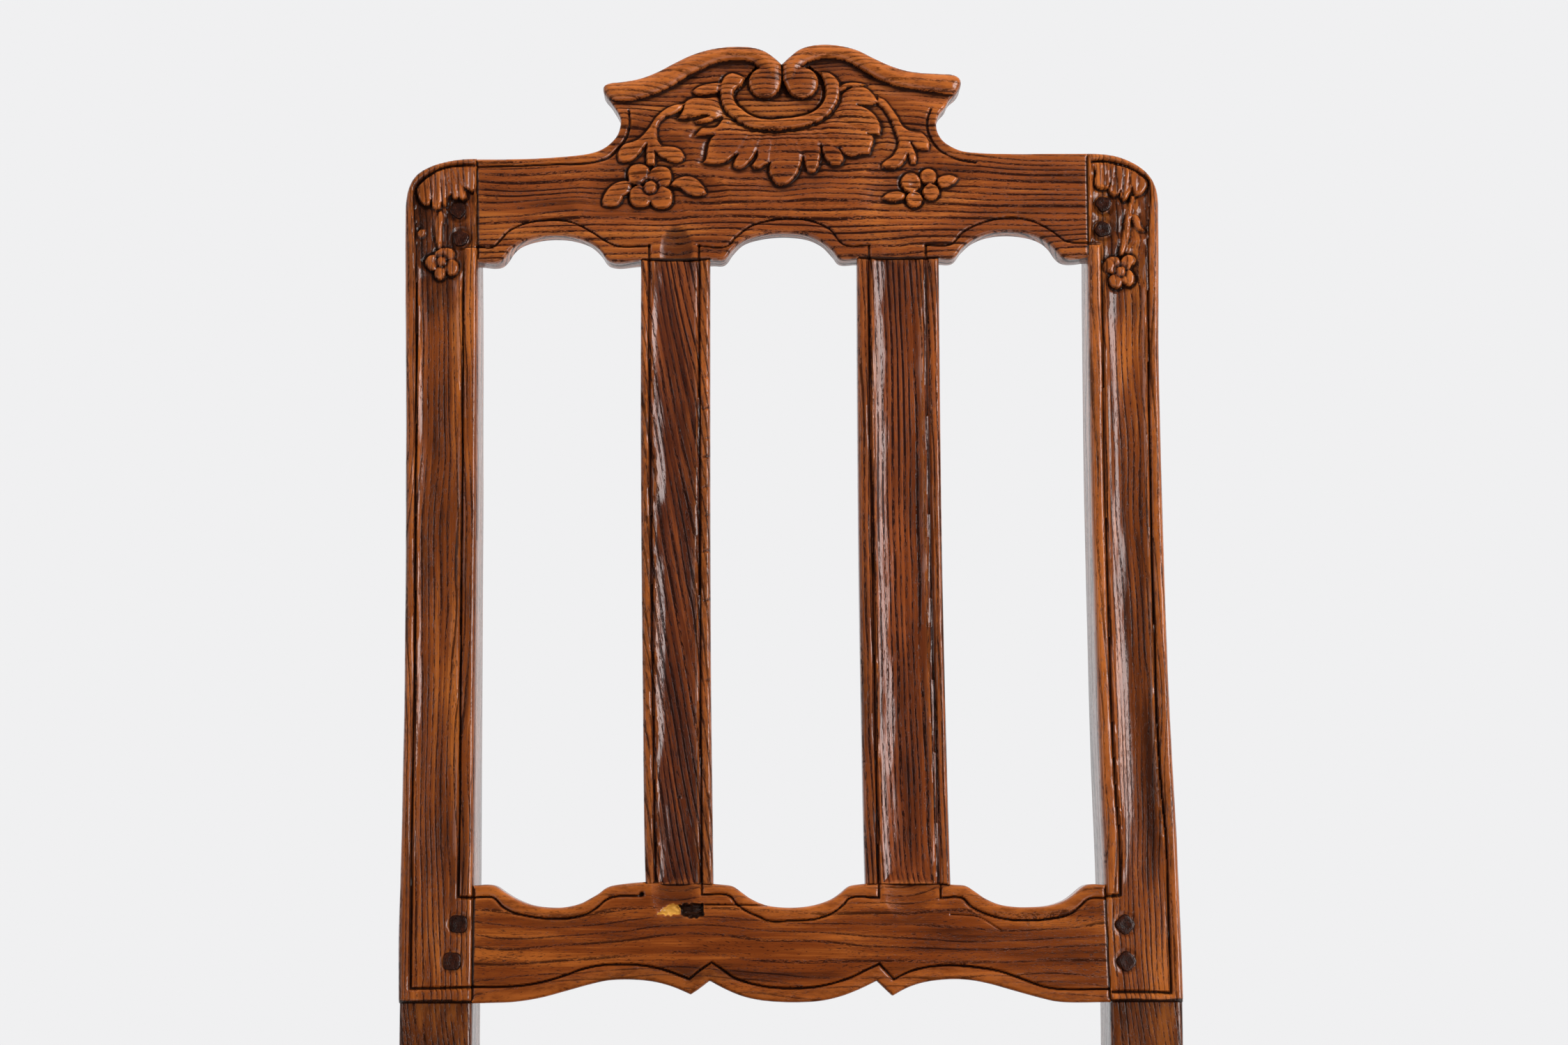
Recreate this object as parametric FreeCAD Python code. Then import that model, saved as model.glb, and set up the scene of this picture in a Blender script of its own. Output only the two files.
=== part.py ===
"""A pegged wainscot chair with a carved open back, in millimetres.

+Z is up and the chair faces -Y. The pieces of the back are drawn on its sloping front plane,
across the chair and up the slope, and are then leaned into place.
"""
import FreeCAD, Part
import math
import os

# The whole chair
seat_height = 450.0
seat_reach = 400.0  # from the front edge of the seat to the plane of the back
seat_side_spread = 20.5  # how much wider the seat is than the back, on each side
back_rake = 8.0  # degrees
back_gap = 80.0  # from the seat up to the lower back rail
overrun = 4.0  # how far a cut runs past the wood
fit_gap = 0.3

# Posts, measured from the middle of the chair and up the slope of the back
back_half_width = 224.5
left_waist_spread = 0.3  # the spreads are beyond the half width of the back
left_top_spread = 4.5
right_base_spread = 0.9
right_waist_spread = -4.4
right_top_spread = -3.9
foot_taper = 4.0
post_base_width = 42.0
post_waist_width = 41.5
post_top_width = 42.3
post_waist_height = 216.0
left_shoulder_height = 497.8
right_shoulder_lift = 4.0
shoulder_drop = 24.0
shoulder_round_share = 0.83
post_top_depth = 36.0
post_base_depth = 54.0
post_step = 4.0
post_bend_rise = 30.0  # from the seat up to the bend
post_straight = 100.0  # from the underside of the seat down to the kick
post_kick = 34.0
kick_bow_shares = (0.25, 0.5)
post_foot_depth = 40.0
post_edge_round = 4.0

# Crest rail
crest_depth = 22.0
crest_back_bevel = 7.0
left_crest_height = 62.8
right_crest_height = 63.6
left_neck_share = 0.449
right_neck_share = 0.3924
left_neck_rise = 21.2
right_neck_rise = 17.2
left_neck_sweep = 42.0
right_neck_sweep = 28.0
neck_shares = ((0.5, 0.08), (0.79, 0.36), (0.95, 0.7), (1, 1))
left_ear_overhang = 11.0
right_ear_overhang = 15.0
left_ear_rise = 26.2
right_ear_rise = 30.8
ear_drop = 7.0
ear_hook_shares = (0.33, 0.5)
left_swell_rise = 23.0
right_swell_rise = 19.7
left_swell_shares = ((0.21, 0.11), (0.4, 0.52), (0.585, 0.9), (0.775, 1), (0.91, 0.87))
right_swell_shares = ((0.23, 0.08), (0.42, 0.34), (0.6, 0.84), (0.79, 1), (0.925, 0.83))
cleft_drop = 11.2
cleft_offset = 4.5
arch_rise = 16.0

# Straight feet of the rails beside the posts and the slats
post_side_foot = 13.0
slat_side_foot = 9.0
wide_side_foot = 19.0

# Lower back rail
lower_rail_depth = 22.0
lower_rail_height = 67.0
dip_depth = 12.8
lower_rail_rise = 13.3

# The cusped lower edge of the lower back rail and of the front seat rail: notch, cusp, crown and tail
cusp_place_shares = (0.262, 0.317, 0.524, 0.877)
cusp_rise_shares = (0.96, 0.3, 1)

# Slats of the back
slat_depth = 18.0
left_slat_share = 0.3024
right_slat_share = 0.2878
left_slat_top_width = 41.4
left_slat_foot_width = 39.2
right_slat_top_width = 49.0
right_slat_foot_width = 49.4
slat_bow = 1.1
left_slat_drift = 3.9
right_slat_drift = 3.1
slat_tenon_length = 20.0
slat_tenon_side = 5.0

left_widths = (left_slat_top_width, left_slat_foot_width)
right_widths = (right_slat_top_width, right_slat_foot_width)

# Flutes down the posts and the slats
post_flute_width = 25.0
slat_flute_margin = 7.0
flute_depth = 2.6
flute_top_margin = 8.0
flute_foot_margin = 26.0

# Joints of the back
back_tenon_thickness = 8.0
back_tenon_length = 30.0
back_tenon_shoulder = 5.0
back_peg_width = 8.2
left_crest_peg_low = 13.6
right_crest_peg_low = 16.7
crest_peg_spacing = 16.0
left_crest_peg_inset = 12.0
right_crest_peg_inset = 9.0
lower_peg_low = 23.8
lower_peg_spacing = 20.6
left_lower_peg_inset = 11.2
right_lower_peg_inset = 9.4
left_peg_drift = 2.8
left_turns = (8, 24)  # degrees
right_turns = (35, 12)

# Seat
seat_thickness = 20.0
seat_corner_round = 22.0
seat_edge_round = 6.0
seat_front_overhang = 20.0
seat_side_overhang = 14.0
seat_post_overhang = 10.0
front_board_share = 0.48
seat_peg_width = 8.0
seat_peg_hold = 18.0
front_peg_shares = (-0.36, 0, 0.36)
side_peg_shares = (0.2, 0.72)
rear_peg_shares = (-0.3, 0.3)

# Rails under the seat
seat_rail_thickness = 24.0
seat_rail_inset = 5.0
front_rail_height = 74.0
side_rail_height = 64.0
side_rail_rise = 14.0
rear_rail_height = 58.0
rear_rail_inset = 8.0
front_rail_rise = 24.0
seat_tenon_thickness = 9.0
leg_tenon_share = 0.48
seat_tenon_shoulder = 8.0
frame_peg_width = 8.0
peg_row_share = 0.26
peg_setback_share = 0.5

# Front legs. The shares are a height in each curved stretch, and the middle and the width of the leg there
leg_block_width = 50.0
leg_block_drop = 8.0
leg_stretch_height = 54.0
leg_stretch_width = 34.0
leg_stretch_offset = 7.0
knee_shares = (
    (0.95, 0.05, 1.02),
    (0.82, 0.15, 1.04),
    (0.66, 0.14, 0.98),
    (0.46, 0.04, 0.86),
    (0.24, -0.08, 0.74),
    (0.07, -0.135, 0.685),
)
foot_shares = (
    (0.88, -0.14, 0.68),
    (0.6, -0.11, 0.66),
    (0.3, 0.02, 0.74),
    (0.12, 0.12, 0.84),
    (0, 0.14, 0.8),
)

# Stretchers
stretcher_height = 131.0
stretcher_depth = 32.0
stretcher_thickness = 22.0
stretcher_rise = 6.0
stretcher_tenon_thickness = 8.0
stretcher_tenon_length = 16.0
stretcher_tenon_shoulder = 5.0
stretcher_peg_width = 6.0
cross_place_share = 0.5

# Sizes that follow from the ones above
slope = math.radians(back_rake)
left_base_reach = back_half_width
left_waist_reach = back_half_width + left_waist_spread
left_top_reach = back_half_width + left_top_spread
right_base_reach = back_half_width + right_base_spread
right_waist_reach = back_half_width + right_waist_spread
right_top_reach = back_half_width + right_top_spread
right_shoulder_height = left_shoulder_height + right_shoulder_lift
left_neck_reach = left_neck_share * back_half_width
right_neck_reach = right_neck_share * back_half_width
left_slat_place = left_slat_share * back_half_width
right_slat_place = right_slat_share * back_half_width
seat_half_width = back_half_width + seat_side_spread
back_base = seat_height + back_gap
post_bend_height = seat_height + post_bend_rise
seat_underside = seat_height - seat_thickness
post_kick_height = seat_underside - post_straight
left_crest_base = left_shoulder_height - left_crest_height
right_crest_base = right_shoulder_height - right_crest_height
right_crest_top = right_shoulder_height + right_neck_rise + right_ear_rise + right_swell_rise
crest_reach = right_crest_top * math.sin(slope) + crest_depth * math.cos(slope)
post_reach = right_shoulder_height * math.sin(slope) + post_top_depth * math.cos(slope)
back_place = (seat_reach - max(crest_reach, post_reach)) / 2
seat_front = back_place - seat_reach
step_back = post_step / math.cos(slope)
leg_front = back_place - (back_base - post_bend_height) * math.tan(slope) + step_back
leg_rear = leg_front + post_base_depth
block_front = seat_front + seat_front_overhang
block_rear = block_front + leg_block_width
block_outer = seat_half_width - seat_side_overhang
block_inner = block_outer - leg_block_width
block_base = seat_underside - front_rail_height - leg_block_drop
leg_stretch_base = stretcher_height - leg_stretch_height / 2
leg_stretch_top = stretcher_height + leg_stretch_height / 2


def front(across, up, depth):
    """A point of a drawing that is seen from the front."""
    return FreeCAD.Vector(across, depth, up)


def side(back, up, depth):
    """A point of a drawing that is seen from the side."""
    return FreeCAD.Vector(depth, back, up)


def plan(across, back, depth):
    """A point of a drawing that is seen from above."""
    return FreeCAD.Vector(across, back, depth)


def edge(points):
    """A line through two points, an arc through three or a curve through more."""
    if len(points) == 2:
        return Part.makeLine(points[0], points[1])
    if len(points) == 3:
        return Part.Arc(points[0], points[1], points[2]).toShape()
    bend = Part.BSplineCurve()
    bend.interpolate(points)
    return bend.toShape()


def prism(view, start, runs, low, high):
    """A closed outline drawn in a view, made solid between two depths.

    Each run is the points that follow the one before: one for a line, two for an arc, more for a curve.
    """
    edges = []
    here = start
    for run in runs:
        edges.append(edge([view(across, up, low) for across, up in [here, *run]]))
        here = run[-1]
    along = view(0, 0, high) - view(0, 0, low)
    return Part.Face(Part.Wire(edges)).extrude(along)


def slab(lows, highs):
    """A box between two corners."""
    size = [high - low for low, high in zip(lows, highs)]
    return Part.makeBox(size[0], size[1], size[2], FreeCAD.Vector(*lows))


def peg(width, foot, tip, turn=0):
    """A square peg, driven from one point to another and turned about its length."""
    along = tip - foot
    half = width / 2
    shank = Part.makeBox(width, width, along.Length, FreeCAD.Vector(-half, -half, 0))
    spin = FreeCAD.Rotation(FreeCAD.Vector(0, 0, 1), turn)
    aim = FreeCAD.Rotation(FreeCAD.Vector(0, 0, 1), along)
    shank.Placement = FreeCAD.Placement(foot, aim.multiply(spin))
    return shank


leaning = FreeCAD.Placement(
    FreeCAD.Vector(0, back_place, back_base),
    FreeCAD.Rotation(FreeCAD.Vector(1, 0, 0), -back_rake),
)


def lean(shape):
    """Takes a piece from the drawing of the back to its place in the chair."""
    leaned = shape.copy()
    leaned.Placement = leaning.multiply(leaned.Placement)
    return leaned


def stand(shape):
    """Takes a piece of the chair to the drawing of the back."""
    stood = shape.copy()
    stood.Placement = leaning.inverse().multiply(stood.Placement)
    return stood


def scaled(shares, start, size):
    """Points placed by their shares of a width and a height."""
    return [(start[0] + across * size[0], start[1] + up * size[1]) for across, up in shares]


# Posts of the back
foot_level = -back_base / math.cos(slope) - overrun


class PostLines:
    """The sizes of one post in the drawing of the back, with sign -1 on the left and 1 on the right."""

    def __init__(self, sign, base, waist, top, shoulder):
        self.sign = sign
        self.base = base
        self.waist = waist
        self.top = top
        self.shoulder = shoulder

    def inner_runs(self):
        """The inner edge, from the floor to the shoulder."""
        sign = self.sign
        inner_base = sign * (self.base - post_base_width)
        inner_waist = sign * (self.waist - post_waist_width)
        return [[(inner_base, 0)], [(inner_waist, post_waist_height), self.shoulder_point()]]

    def inner_foot(self):
        return (self.sign * (self.base - post_base_width), foot_level)

    def shoulder_point(self):
        return (self.sign * (self.top - post_top_width), self.shoulder)

    def outer_runs(self):
        """The rounded shoulder and the outer edge, down to the floor."""
        sign = self.sign
        down = [(sign * self.waist, post_waist_height), (sign * self.base, 0)]
        return [*self.shoulder_runs(), down, [(sign * (self.base - foot_taper), foot_level)]]

    def shoulder_runs(self):
        """Two arcs that meet smoothly, from the inner end of the shoulder over to the outer edge."""
        small = shoulder_round_share * shoulder_drop
        half_left = math.atan((shoulder_drop - small) / (post_top_width - small))
        meeting = math.pi / 2 - 2 * half_left
        large = small + (post_top_width - small) / math.cos(meeting)

        def on_arc(radius, centre_in, centre_up, angle):
            inward = centre_in - radius * math.cos(angle)
            return (self.sign * (self.top - inward), centre_up + radius * math.sin(angle))

        corner_height = self.shoulder - shoulder_drop
        top_arc = (large, post_top_width, self.shoulder - large)
        side_arc = (small, small, corner_height)
        return [
            [on_arc(*top_arc, (meeting + math.pi / 2) / 2), on_arc(*top_arc, meeting)],
            [on_arc(*side_arc, meeting / 2), (self.sign * self.top, corner_height)],
        ]

    def outline(self, low, high):
        runs = [*self.inner_runs(), *self.outer_runs(), [self.inner_foot()]]
        return prism(front, self.inner_foot(), runs, low, high)

    def beyond(self, low, high):
        """All that lies past the inner edge of the post, for cutting a rail to fit it."""
        far = self.sign * (self.top + post_top_width)
        runs = [*self.inner_runs(), [(far, self.shoulder)], [(far, foot_level)], [self.inner_foot()]]
        return prism(front, self.inner_foot(), runs, low, high)

    def inner_at(self, height):
        """Where the inner edge lies at a height, near enough to place a tenon or a peg."""
        share = height / self.shoulder
        return self.sign * ((self.base - post_base_width) * (1 - share) + (self.top - post_top_width) * share)


left_lines = PostLines(-1, left_base_reach, left_waist_reach, left_top_reach, left_shoulder_height)
right_lines = PostLines(1, right_base_reach, right_waist_reach, right_top_reach, right_shoulder_height)


def post_side_shape():
    """The post from the side: a sloping back, a bend at the seat and a foot that kicks back."""
    top = max(left_shoulder_height, right_shoulder_height) + overrun

    def on_slope(depth, up):
        return (
            back_place + depth * math.cos(slope) + up * math.sin(slope),
            back_base + up * math.cos(slope) - depth * math.sin(slope),
        )

    rear_kick = post_kick + post_foot_depth - post_base_depth
    middle = post_kick_height * kick_bow_shares[1]
    front_middle = leg_front + post_kick * kick_bow_shares[0]
    rear_middle = leg_rear + rear_kick * kick_bow_shares[0]
    front_kick_run = [(front_middle, middle), (leg_front + post_kick, 0)]
    rear_kick_run = [(rear_middle, middle), (leg_rear, post_kick_height)]
    runs = [
        [on_slope(0, 0)],
        [on_slope(post_step, 0)],
        [(leg_front, post_bend_height)],
        [(leg_front, post_kick_height)],
        front_kick_run,
        [(leg_rear + rear_kick, 0)],
        rear_kick_run,
        [(leg_rear, post_bend_height)],
        [on_slope(post_base_depth, 0)],
        [on_slope(post_top_depth, top)],
        [on_slope(0, top)],
    ]
    reach = left_top_reach + right_top_reach
    return prism(side, on_slope(0, top), runs, -reach, reach)


def flute(foot, top, width):
    """A shallow hollow with round ends, to be cut out of the front of a piece of the back."""
    radius = ((width / 2) ** 2 + flute_depth**2) / (2 * flute_depth)
    centre = flute_depth - radius
    low = FreeCAD.Vector(foot[0], centre, foot[1])
    high = FreeCAD.Vector(top[0], centre, top[1])
    along = high - low
    rod = Part.makeCylinder(radius, along.Length, low, along)
    return rod.fuse([Part.makeSphere(radius, low), Part.makeSphere(radius, high)])


def post_flute(lines):
    foot = lower_rail_height + flute_foot_margin
    top = left_crest_base - flute_top_margin
    half = post_waist_width / 2
    return flute(
        (lines.inner_at(foot) + lines.sign * half, foot),
        (lines.inner_at(top) + lines.sign * half, top),
        post_flute_width,
    )


def post_blank(lines):
    """One post before its mortises are cut, with its outer edge rounded up and over the shoulder."""
    reach = back_base + seat_reach
    upright = lines.outline(-reach, reach).common(stand(post_side_shape()))
    upright = upright.cut(post_flute(lines))
    rims = [e for e in upright.Edges if is_outer_rim(e.BoundBox, lines)]
    return lean(upright.makeFillet(post_edge_round, rims))


def is_outer_rim(box, lines):
    """True for the edges of a post's front face along its outer side and its shoulder."""
    outermost = max(-box.XMin, box.XMax)
    on_face = box.YMin > -fit_gap and box.YMax < fit_gap
    return on_face and box.ZMin > -fit_gap and box.ZMax > overrun and outermost > lines.base - overrun


# Crest rail
cleft_height = left_shoulder_height + left_neck_rise + left_ear_rise + left_swell_rise - cleft_drop


def crest_base_at(across):
    """The height of the straight parts of the crest rail's underside."""
    span = left_top_reach + right_top_reach
    share = (across + left_top_reach) / span
    return left_crest_base * (1 - share) + right_crest_base * share


def crest_side_runs(lines, reaches, rises, swell_shares):
    """The top edge of one half of the crest rail, from the post to the cleft in the middle."""
    sign = lines.sign
    neck_reach, neck_sweep, ear_overhang = reaches
    neck_height = lines.shoulder + rises[0]
    ear_height = neck_height + rises[1]
    neck = sign * neck_reach
    ear = sign * (neck_reach + ear_overhang)
    brow = ear - sign * ear_drop / 2
    start = (sign * (neck_reach + neck_sweep), lines.shoulder)
    sweep = scaled(neck_shares, start, (-sign * neck_sweep, rises[0]))
    hook = scaled([ear_hook_shares], (neck, neck_height), (sign * ear_overhang, rises[1] - ear_drop))
    swell = scaled(swell_shares, (brow, ear_height), (-cleft_offset - brow, rises[2]))
    return [
        [start],
        sweep,
        [*hook, (ear, ear_height - ear_drop)],
        [(ear, ear_height - ear_drop / 2), (brow, ear_height)],
        [*swell, (-cleft_offset, cleft_height)],
    ]


def reverse_runs(start, runs):
    """The same outline drawn the other way round, as its new start and its runs."""
    places = [start]
    for run in runs:
        places.append(run[-1])
    turned = []
    for place, run in zip(reversed(places[:-1]), reversed(runs)):
        turned.append([*reversed(run[:-1]), place])
    return places[-1], turned


def bays(level_share):
    """The left and right ends of each bay's hollow at the foot, 0, or the top, 1, of the slats."""
    left_slat_middle = left_slat_drift * (1 - level_share) - left_slat_place
    right_slat_middle = right_slat_place + right_slat_drift * (1 - level_share)
    left_half = (left_slat_foot_width * (1 - level_share) + left_slat_top_width * level_share) / 2
    right_half = (right_slat_foot_width * (1 - level_share) + right_slat_top_width * level_share) / 2
    height = left_crest_base * level_share
    return (
        (left_lines.inner_at(height) + post_side_foot, left_slat_middle - left_half - wide_side_foot),
        (left_slat_middle + left_half + slat_side_foot, right_slat_middle - right_half - slat_side_foot),
        (right_slat_middle + right_half + slat_side_foot, right_lines.inner_at(height) - post_side_foot),
    )


def crest_underside():
    """The arches along the underside, from right to left."""
    runs = []
    for left, right in reversed(bays(1)):
        middle = (left + right) / 2
        runs.append([(right, crest_base_at(right))])
        runs.append([(middle, crest_base_at(middle) + arch_rise), (left, crest_base_at(left))])
    return runs


def crest_blank():
    left_end = -(left_top_reach - post_top_width) - overrun
    right_end = right_top_reach - post_top_width + overrun
    start = (left_end, left_lines.shoulder)
    left_reaches = (left_neck_reach, left_neck_sweep, left_ear_overhang)
    right_reaches = (right_neck_reach, right_neck_sweep, right_ear_overhang)
    left_rises = (left_neck_rise, left_ear_rise, left_swell_rise)
    right_rises = (right_neck_rise, right_ear_rise, right_swell_rise)
    left_runs = crest_side_runs(left_lines, left_reaches, left_rises, left_swell_shares)
    right_runs = crest_side_runs(right_lines, right_reaches, right_rises, right_swell_shares)
    right_runs = reverse_runs((right_end, right_lines.shoulder), right_runs)[1]
    underside = [[(right_end, crest_base_at(right_end))], *crest_underside()]
    runs = [*left_runs, *right_runs, *underside, [(left_end, crest_base_at(left_end))], [start]]
    blank = prism(front, start, runs, 0, crest_depth)
    arches = [e for e in blank.Edges if is_arch(e)]
    return blank.makeChamfer(crest_back_bevel, arches)


def is_arch(candidate):
    """True for the back edge of an arch in the underside of the crest rail."""
    box = candidate.BoundBox
    curved = isinstance(candidate.Curve, Part.Circle)
    return curved and box.YMin > crest_depth / 2 and box.ZMax < left_crest_base + arch_rise + overrun


def back_tenon(lines, low, high, depth):
    """A tenon that runs from inside a rail into a post."""
    middle = depth / 2
    shoulder = lines.inner_at((low + high) / 2)
    reach = sorted((shoulder - lines.sign * overrun, shoulder + lines.sign * back_tenon_length))
    half = back_tenon_thickness / 2
    return slab((reach[0], middle - half, low), (reach[1], middle + half, high))


def crest_tenon_span(lines):
    base = crest_base_at(lines.inner_at(left_crest_base))
    return base + back_tenon_shoulder, lines.shoulder - 3 * back_tenon_shoulder


def crest_rail():
    rail = crest_blank()
    for lines in (left_lines, right_lines):
        rail = rail.cut(lines.beyond(-overrun, crest_depth + overrun))
    for lines in (left_lines, right_lines):
        low, high = crest_tenon_span(lines)
        rail = rail.fuse(back_tenon(lines, low, high, crest_depth))
    return rail.removeSplitter()


# Lower back rail
def dips():
    """The hollows along the top of the lower rail, from left to right."""
    runs = []
    for left, right in bays(0):
        runs.append([(left, lower_rail_height)])
        low = ((left + right) / 2, lower_rail_height - dip_depth)
        runs.append([low, (right, lower_rail_height)])
    return runs


def cusped_runs(half_width, rise, base):
    """A lower edge with a middle lobe, two cusps and two long crowns, drawn from right to left."""
    notch, cusp, crown, tail = [share * half_width for share in cusp_place_shares]
    notch_up, cusp_up, crown_up = [base + share * rise for share in cusp_rise_shares]
    outward = [
        (cusp, cusp_up),
        ((cusp + crown) / 2, (cusp_up + 3 * crown_up) / 4),
        (crown, crown_up),
        ((crown + tail) / 2, (crown_up + base) / 2),
        (tail, base),
    ]
    inward = list(reversed(outward))
    right = [[inward[0]], inward[1:], [(notch, notch_up)]]
    lobe = [[(0, base), (-notch, notch_up)]]
    left = [[(-cusp, cusp_up)], [(-across, up) for across, up in outward[1:]]]
    return [*right, *lobe, *left]


def lower_rail():
    left_end = -(left_base_reach - post_base_width) - overrun
    right_end = right_base_reach - post_base_width + overrun
    start = (left_end, lower_rail_height)
    top = [*dips(), [(right_end, lower_rail_height)], [(right_end, 0)]]
    edge_runs = cusped_runs(left_base_reach - post_base_width, lower_rail_rise, 0)
    rail = prism(front, start, [*top, *edge_runs, [(left_end, 0)], [start]], 0, lower_rail_depth)
    for lines in (left_lines, right_lines):
        rail = rail.cut(lines.beyond(-overrun, lower_rail_depth + overrun))
    for lines in (left_lines, right_lines):
        high = lower_rail_height - dip_depth
        rail = rail.fuse(back_tenon(lines, lower_rail_rise, high, lower_rail_depth))
    return rail.removeSplitter()


# Slats
def slat(place, drift, widths, crest, rail):
    """One slat: its middle is at place by the foot and drifts to the left by the top."""
    top_width, foot_width = widths
    foot_level_here = lower_rail_height - overrun
    top_level = left_crest_base + overrun
    middle_top = place - drift
    start = (place - foot_width / 2, foot_level_here)
    half_width = (top_width + foot_width) / 4
    waist = (place + middle_top) / 2 - slat_bow
    waist_level = (foot_level_here + top_level) / 2
    runs = [
        [(waist - half_width, waist_level), (middle_top - top_width / 2, top_level)],
        [(middle_top + top_width / 2, top_level)],
        [(waist + half_width, waist_level), (place + foot_width / 2, foot_level_here)],
        [start],
    ]
    blank = prism(front, start, runs, 0, slat_depth).cut([crest, rail])
    width = min(top_width, foot_width) - 2 * slat_flute_margin
    flute_foot = (place, lower_rail_height + flute_foot_margin)
    flute_top = (middle_top, left_crest_base - flute_top_margin - width / 2)
    blank = blank.cut(flute(flute_foot, flute_top, width))
    half = back_tenon_thickness / 2
    middle = slat_depth / 2
    for centre, wide, low, high in (
        (place, foot_width, lower_rail_height - slat_tenon_length, lower_rail_height + overrun),
        (middle_top, top_width, left_crest_base - overrun, left_crest_base + slat_tenon_length),
    ):
        reach = wide / 2 - slat_tenon_side
        tenon = slab((centre - reach, middle - half, low), (centre + reach, middle + half, high))
        blank = blank.fuse(tenon)
    return blank.removeSplitter()


def back_pegs(lines, low, spacing, inset, drift, turns):
    """The two pegs that pin one end of a rail of the back to its post, the upper one drifting outwards."""
    pegs = []
    for row, turn in enumerate(turns):
        up = low + row * spacing
        across = lines.inner_at(up) + lines.sign * (inset + row * drift)
        foot = FreeCAD.Vector(across, 0, up)
        tip = FreeCAD.Vector(across, crest_depth + overrun, up)
        pegs.append(peg(back_peg_width, foot, tip, turn))
    return pegs


# Front legs
def leg_edge(centre, outward, face):
    """The outer edge of a leg's profile, from the seat to the floor, or the inner one where face is -1."""
    half = leg_block_width / 2
    stretch_face = leg_stretch_width / 2 * face - leg_stretch_offset

    def curve(shares, low, high):
        points = []
        for height, offset, width in shares:
            reach = (offset + face * width / 2) * leg_block_width
            points.append((centre + outward * reach, low + height * (high - low)))
        return points

    block = (centre + outward * face * half, block_base)
    stretch_top = (centre + outward * stretch_face, leg_stretch_top)
    stretch_base = (centre + outward * stretch_face, leg_stretch_base)
    knee = [*curve(knee_shares, leg_stretch_top, block_base), stretch_top]
    return [[block], knee, [stretch_base], curve(foot_shares, 0, leg_stretch_base)]


def leg_profile(view, centre, outward, low, high):
    """A front leg as sawn from one face of its blank."""
    half = leg_block_width / 2
    outer_top = (centre + outward * half, seat_underside)
    inner_top = (centre - outward * half, seat_underside)
    outer = leg_edge(centre, outward, 1)
    foot, inner = reverse_runs(inner_top, leg_edge(centre, outward, -1))
    return prism(view, outer_top, [*outer, [foot], *inner, [outer_top]], low, high)


def front_leg(sign, fitted):
    """A curved leg, sawn from two faces, with straight stretches for the rails and the stretcher."""
    across = sign * (block_outer + block_inner) / 2
    back = (block_front + block_rear) / 2
    reach = leg_block_width
    from_front = leg_profile(front, across, sign, back - reach, back + reach)
    from_side = leg_profile(side, back, -1, across - reach, across + reach)
    return from_front.common(from_side).cut(fitted)


# Rails under the seat
rail_middle = seat_rail_inset + seat_rail_thickness / 2
leg_tenon_length = leg_block_width * leg_tenon_share
post_tenon_length = post_base_width * leg_tenon_share


def front_seat_rail():
    near = block_front + seat_rail_inset
    base = seat_underside - front_rail_height
    lower = cusped_runs(block_inner, front_rail_rise, base)
    start = (-block_inner, seat_underside)
    runs = [[(block_inner, seat_underside)], [(block_inner, base)], *lower, [(-block_inner, base)], [start]]
    rail = prism(front, start, runs, near, near + seat_rail_thickness)
    middle = near + seat_rail_thickness / 2
    half = seat_tenon_thickness / 2
    reach = block_inner + leg_tenon_length
    low = base + seat_tenon_shoulder
    high = seat_underside - seat_tenon_shoulder
    tenon = slab((-reach, middle - half, low), (reach, middle + half, high))
    inside = slab((-block_inner, middle - half, low), (block_inner, middle + half, high))
    return rail.fuse(tenon.cut(inside)).removeSplitter()


def side_rail_middles(sign):
    """Where the middle of a side rail meets the front leg and the post, across the chair."""
    base_reach = left_base_reach if sign < 0 else right_base_reach
    return sign * (block_outer - rail_middle), sign * (base_reach - rail_middle)


def side_seat_rail(sign):
    near, far = side_rail_middles(sign)
    half = seat_rail_thickness / 2
    base = seat_underside - side_rail_height
    start = (near - half, block_rear)
    corners = [[(near + half, block_rear)], [(far + half, leg_front)], [(far - half, leg_front)], [start]]
    board = prism(plan, start, corners, base, seat_underside)
    rail = board.cut(hollow_under(base, side_rail_rise, block_rear, leg_front))
    thin = seat_tenon_thickness / 2
    low = base + seat_tenon_shoulder
    high = seat_underside - seat_tenon_shoulder
    ahead = slab((near - thin, block_rear - leg_tenon_length, low), (near + thin, block_rear + overrun, high))
    behind = slab((far - thin, leg_front - overrun, low), (far + thin, leg_front + post_tenon_length, high))
    return rail.fuse([ahead, behind]).removeSplitter()


def rear_seat_rail():
    far = leg_rear - rear_rail_inset
    near = far - seat_rail_thickness
    base = seat_underside - rear_rail_height
    left = -(left_base_reach - post_base_width)
    right = right_base_reach - post_base_width
    rail = slab((left, near, base), (right, far, seat_underside))
    middle = (near + far) / 2
    half = seat_tenon_thickness / 2
    low = base + seat_tenon_shoulder
    high = seat_underside - seat_tenon_shoulder
    tip = post_tenon_length
    tenon = slab((left - tip, middle - half, low), (right + tip, middle + half, high))
    return rail.fuse(tenon).removeSplitter()


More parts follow.
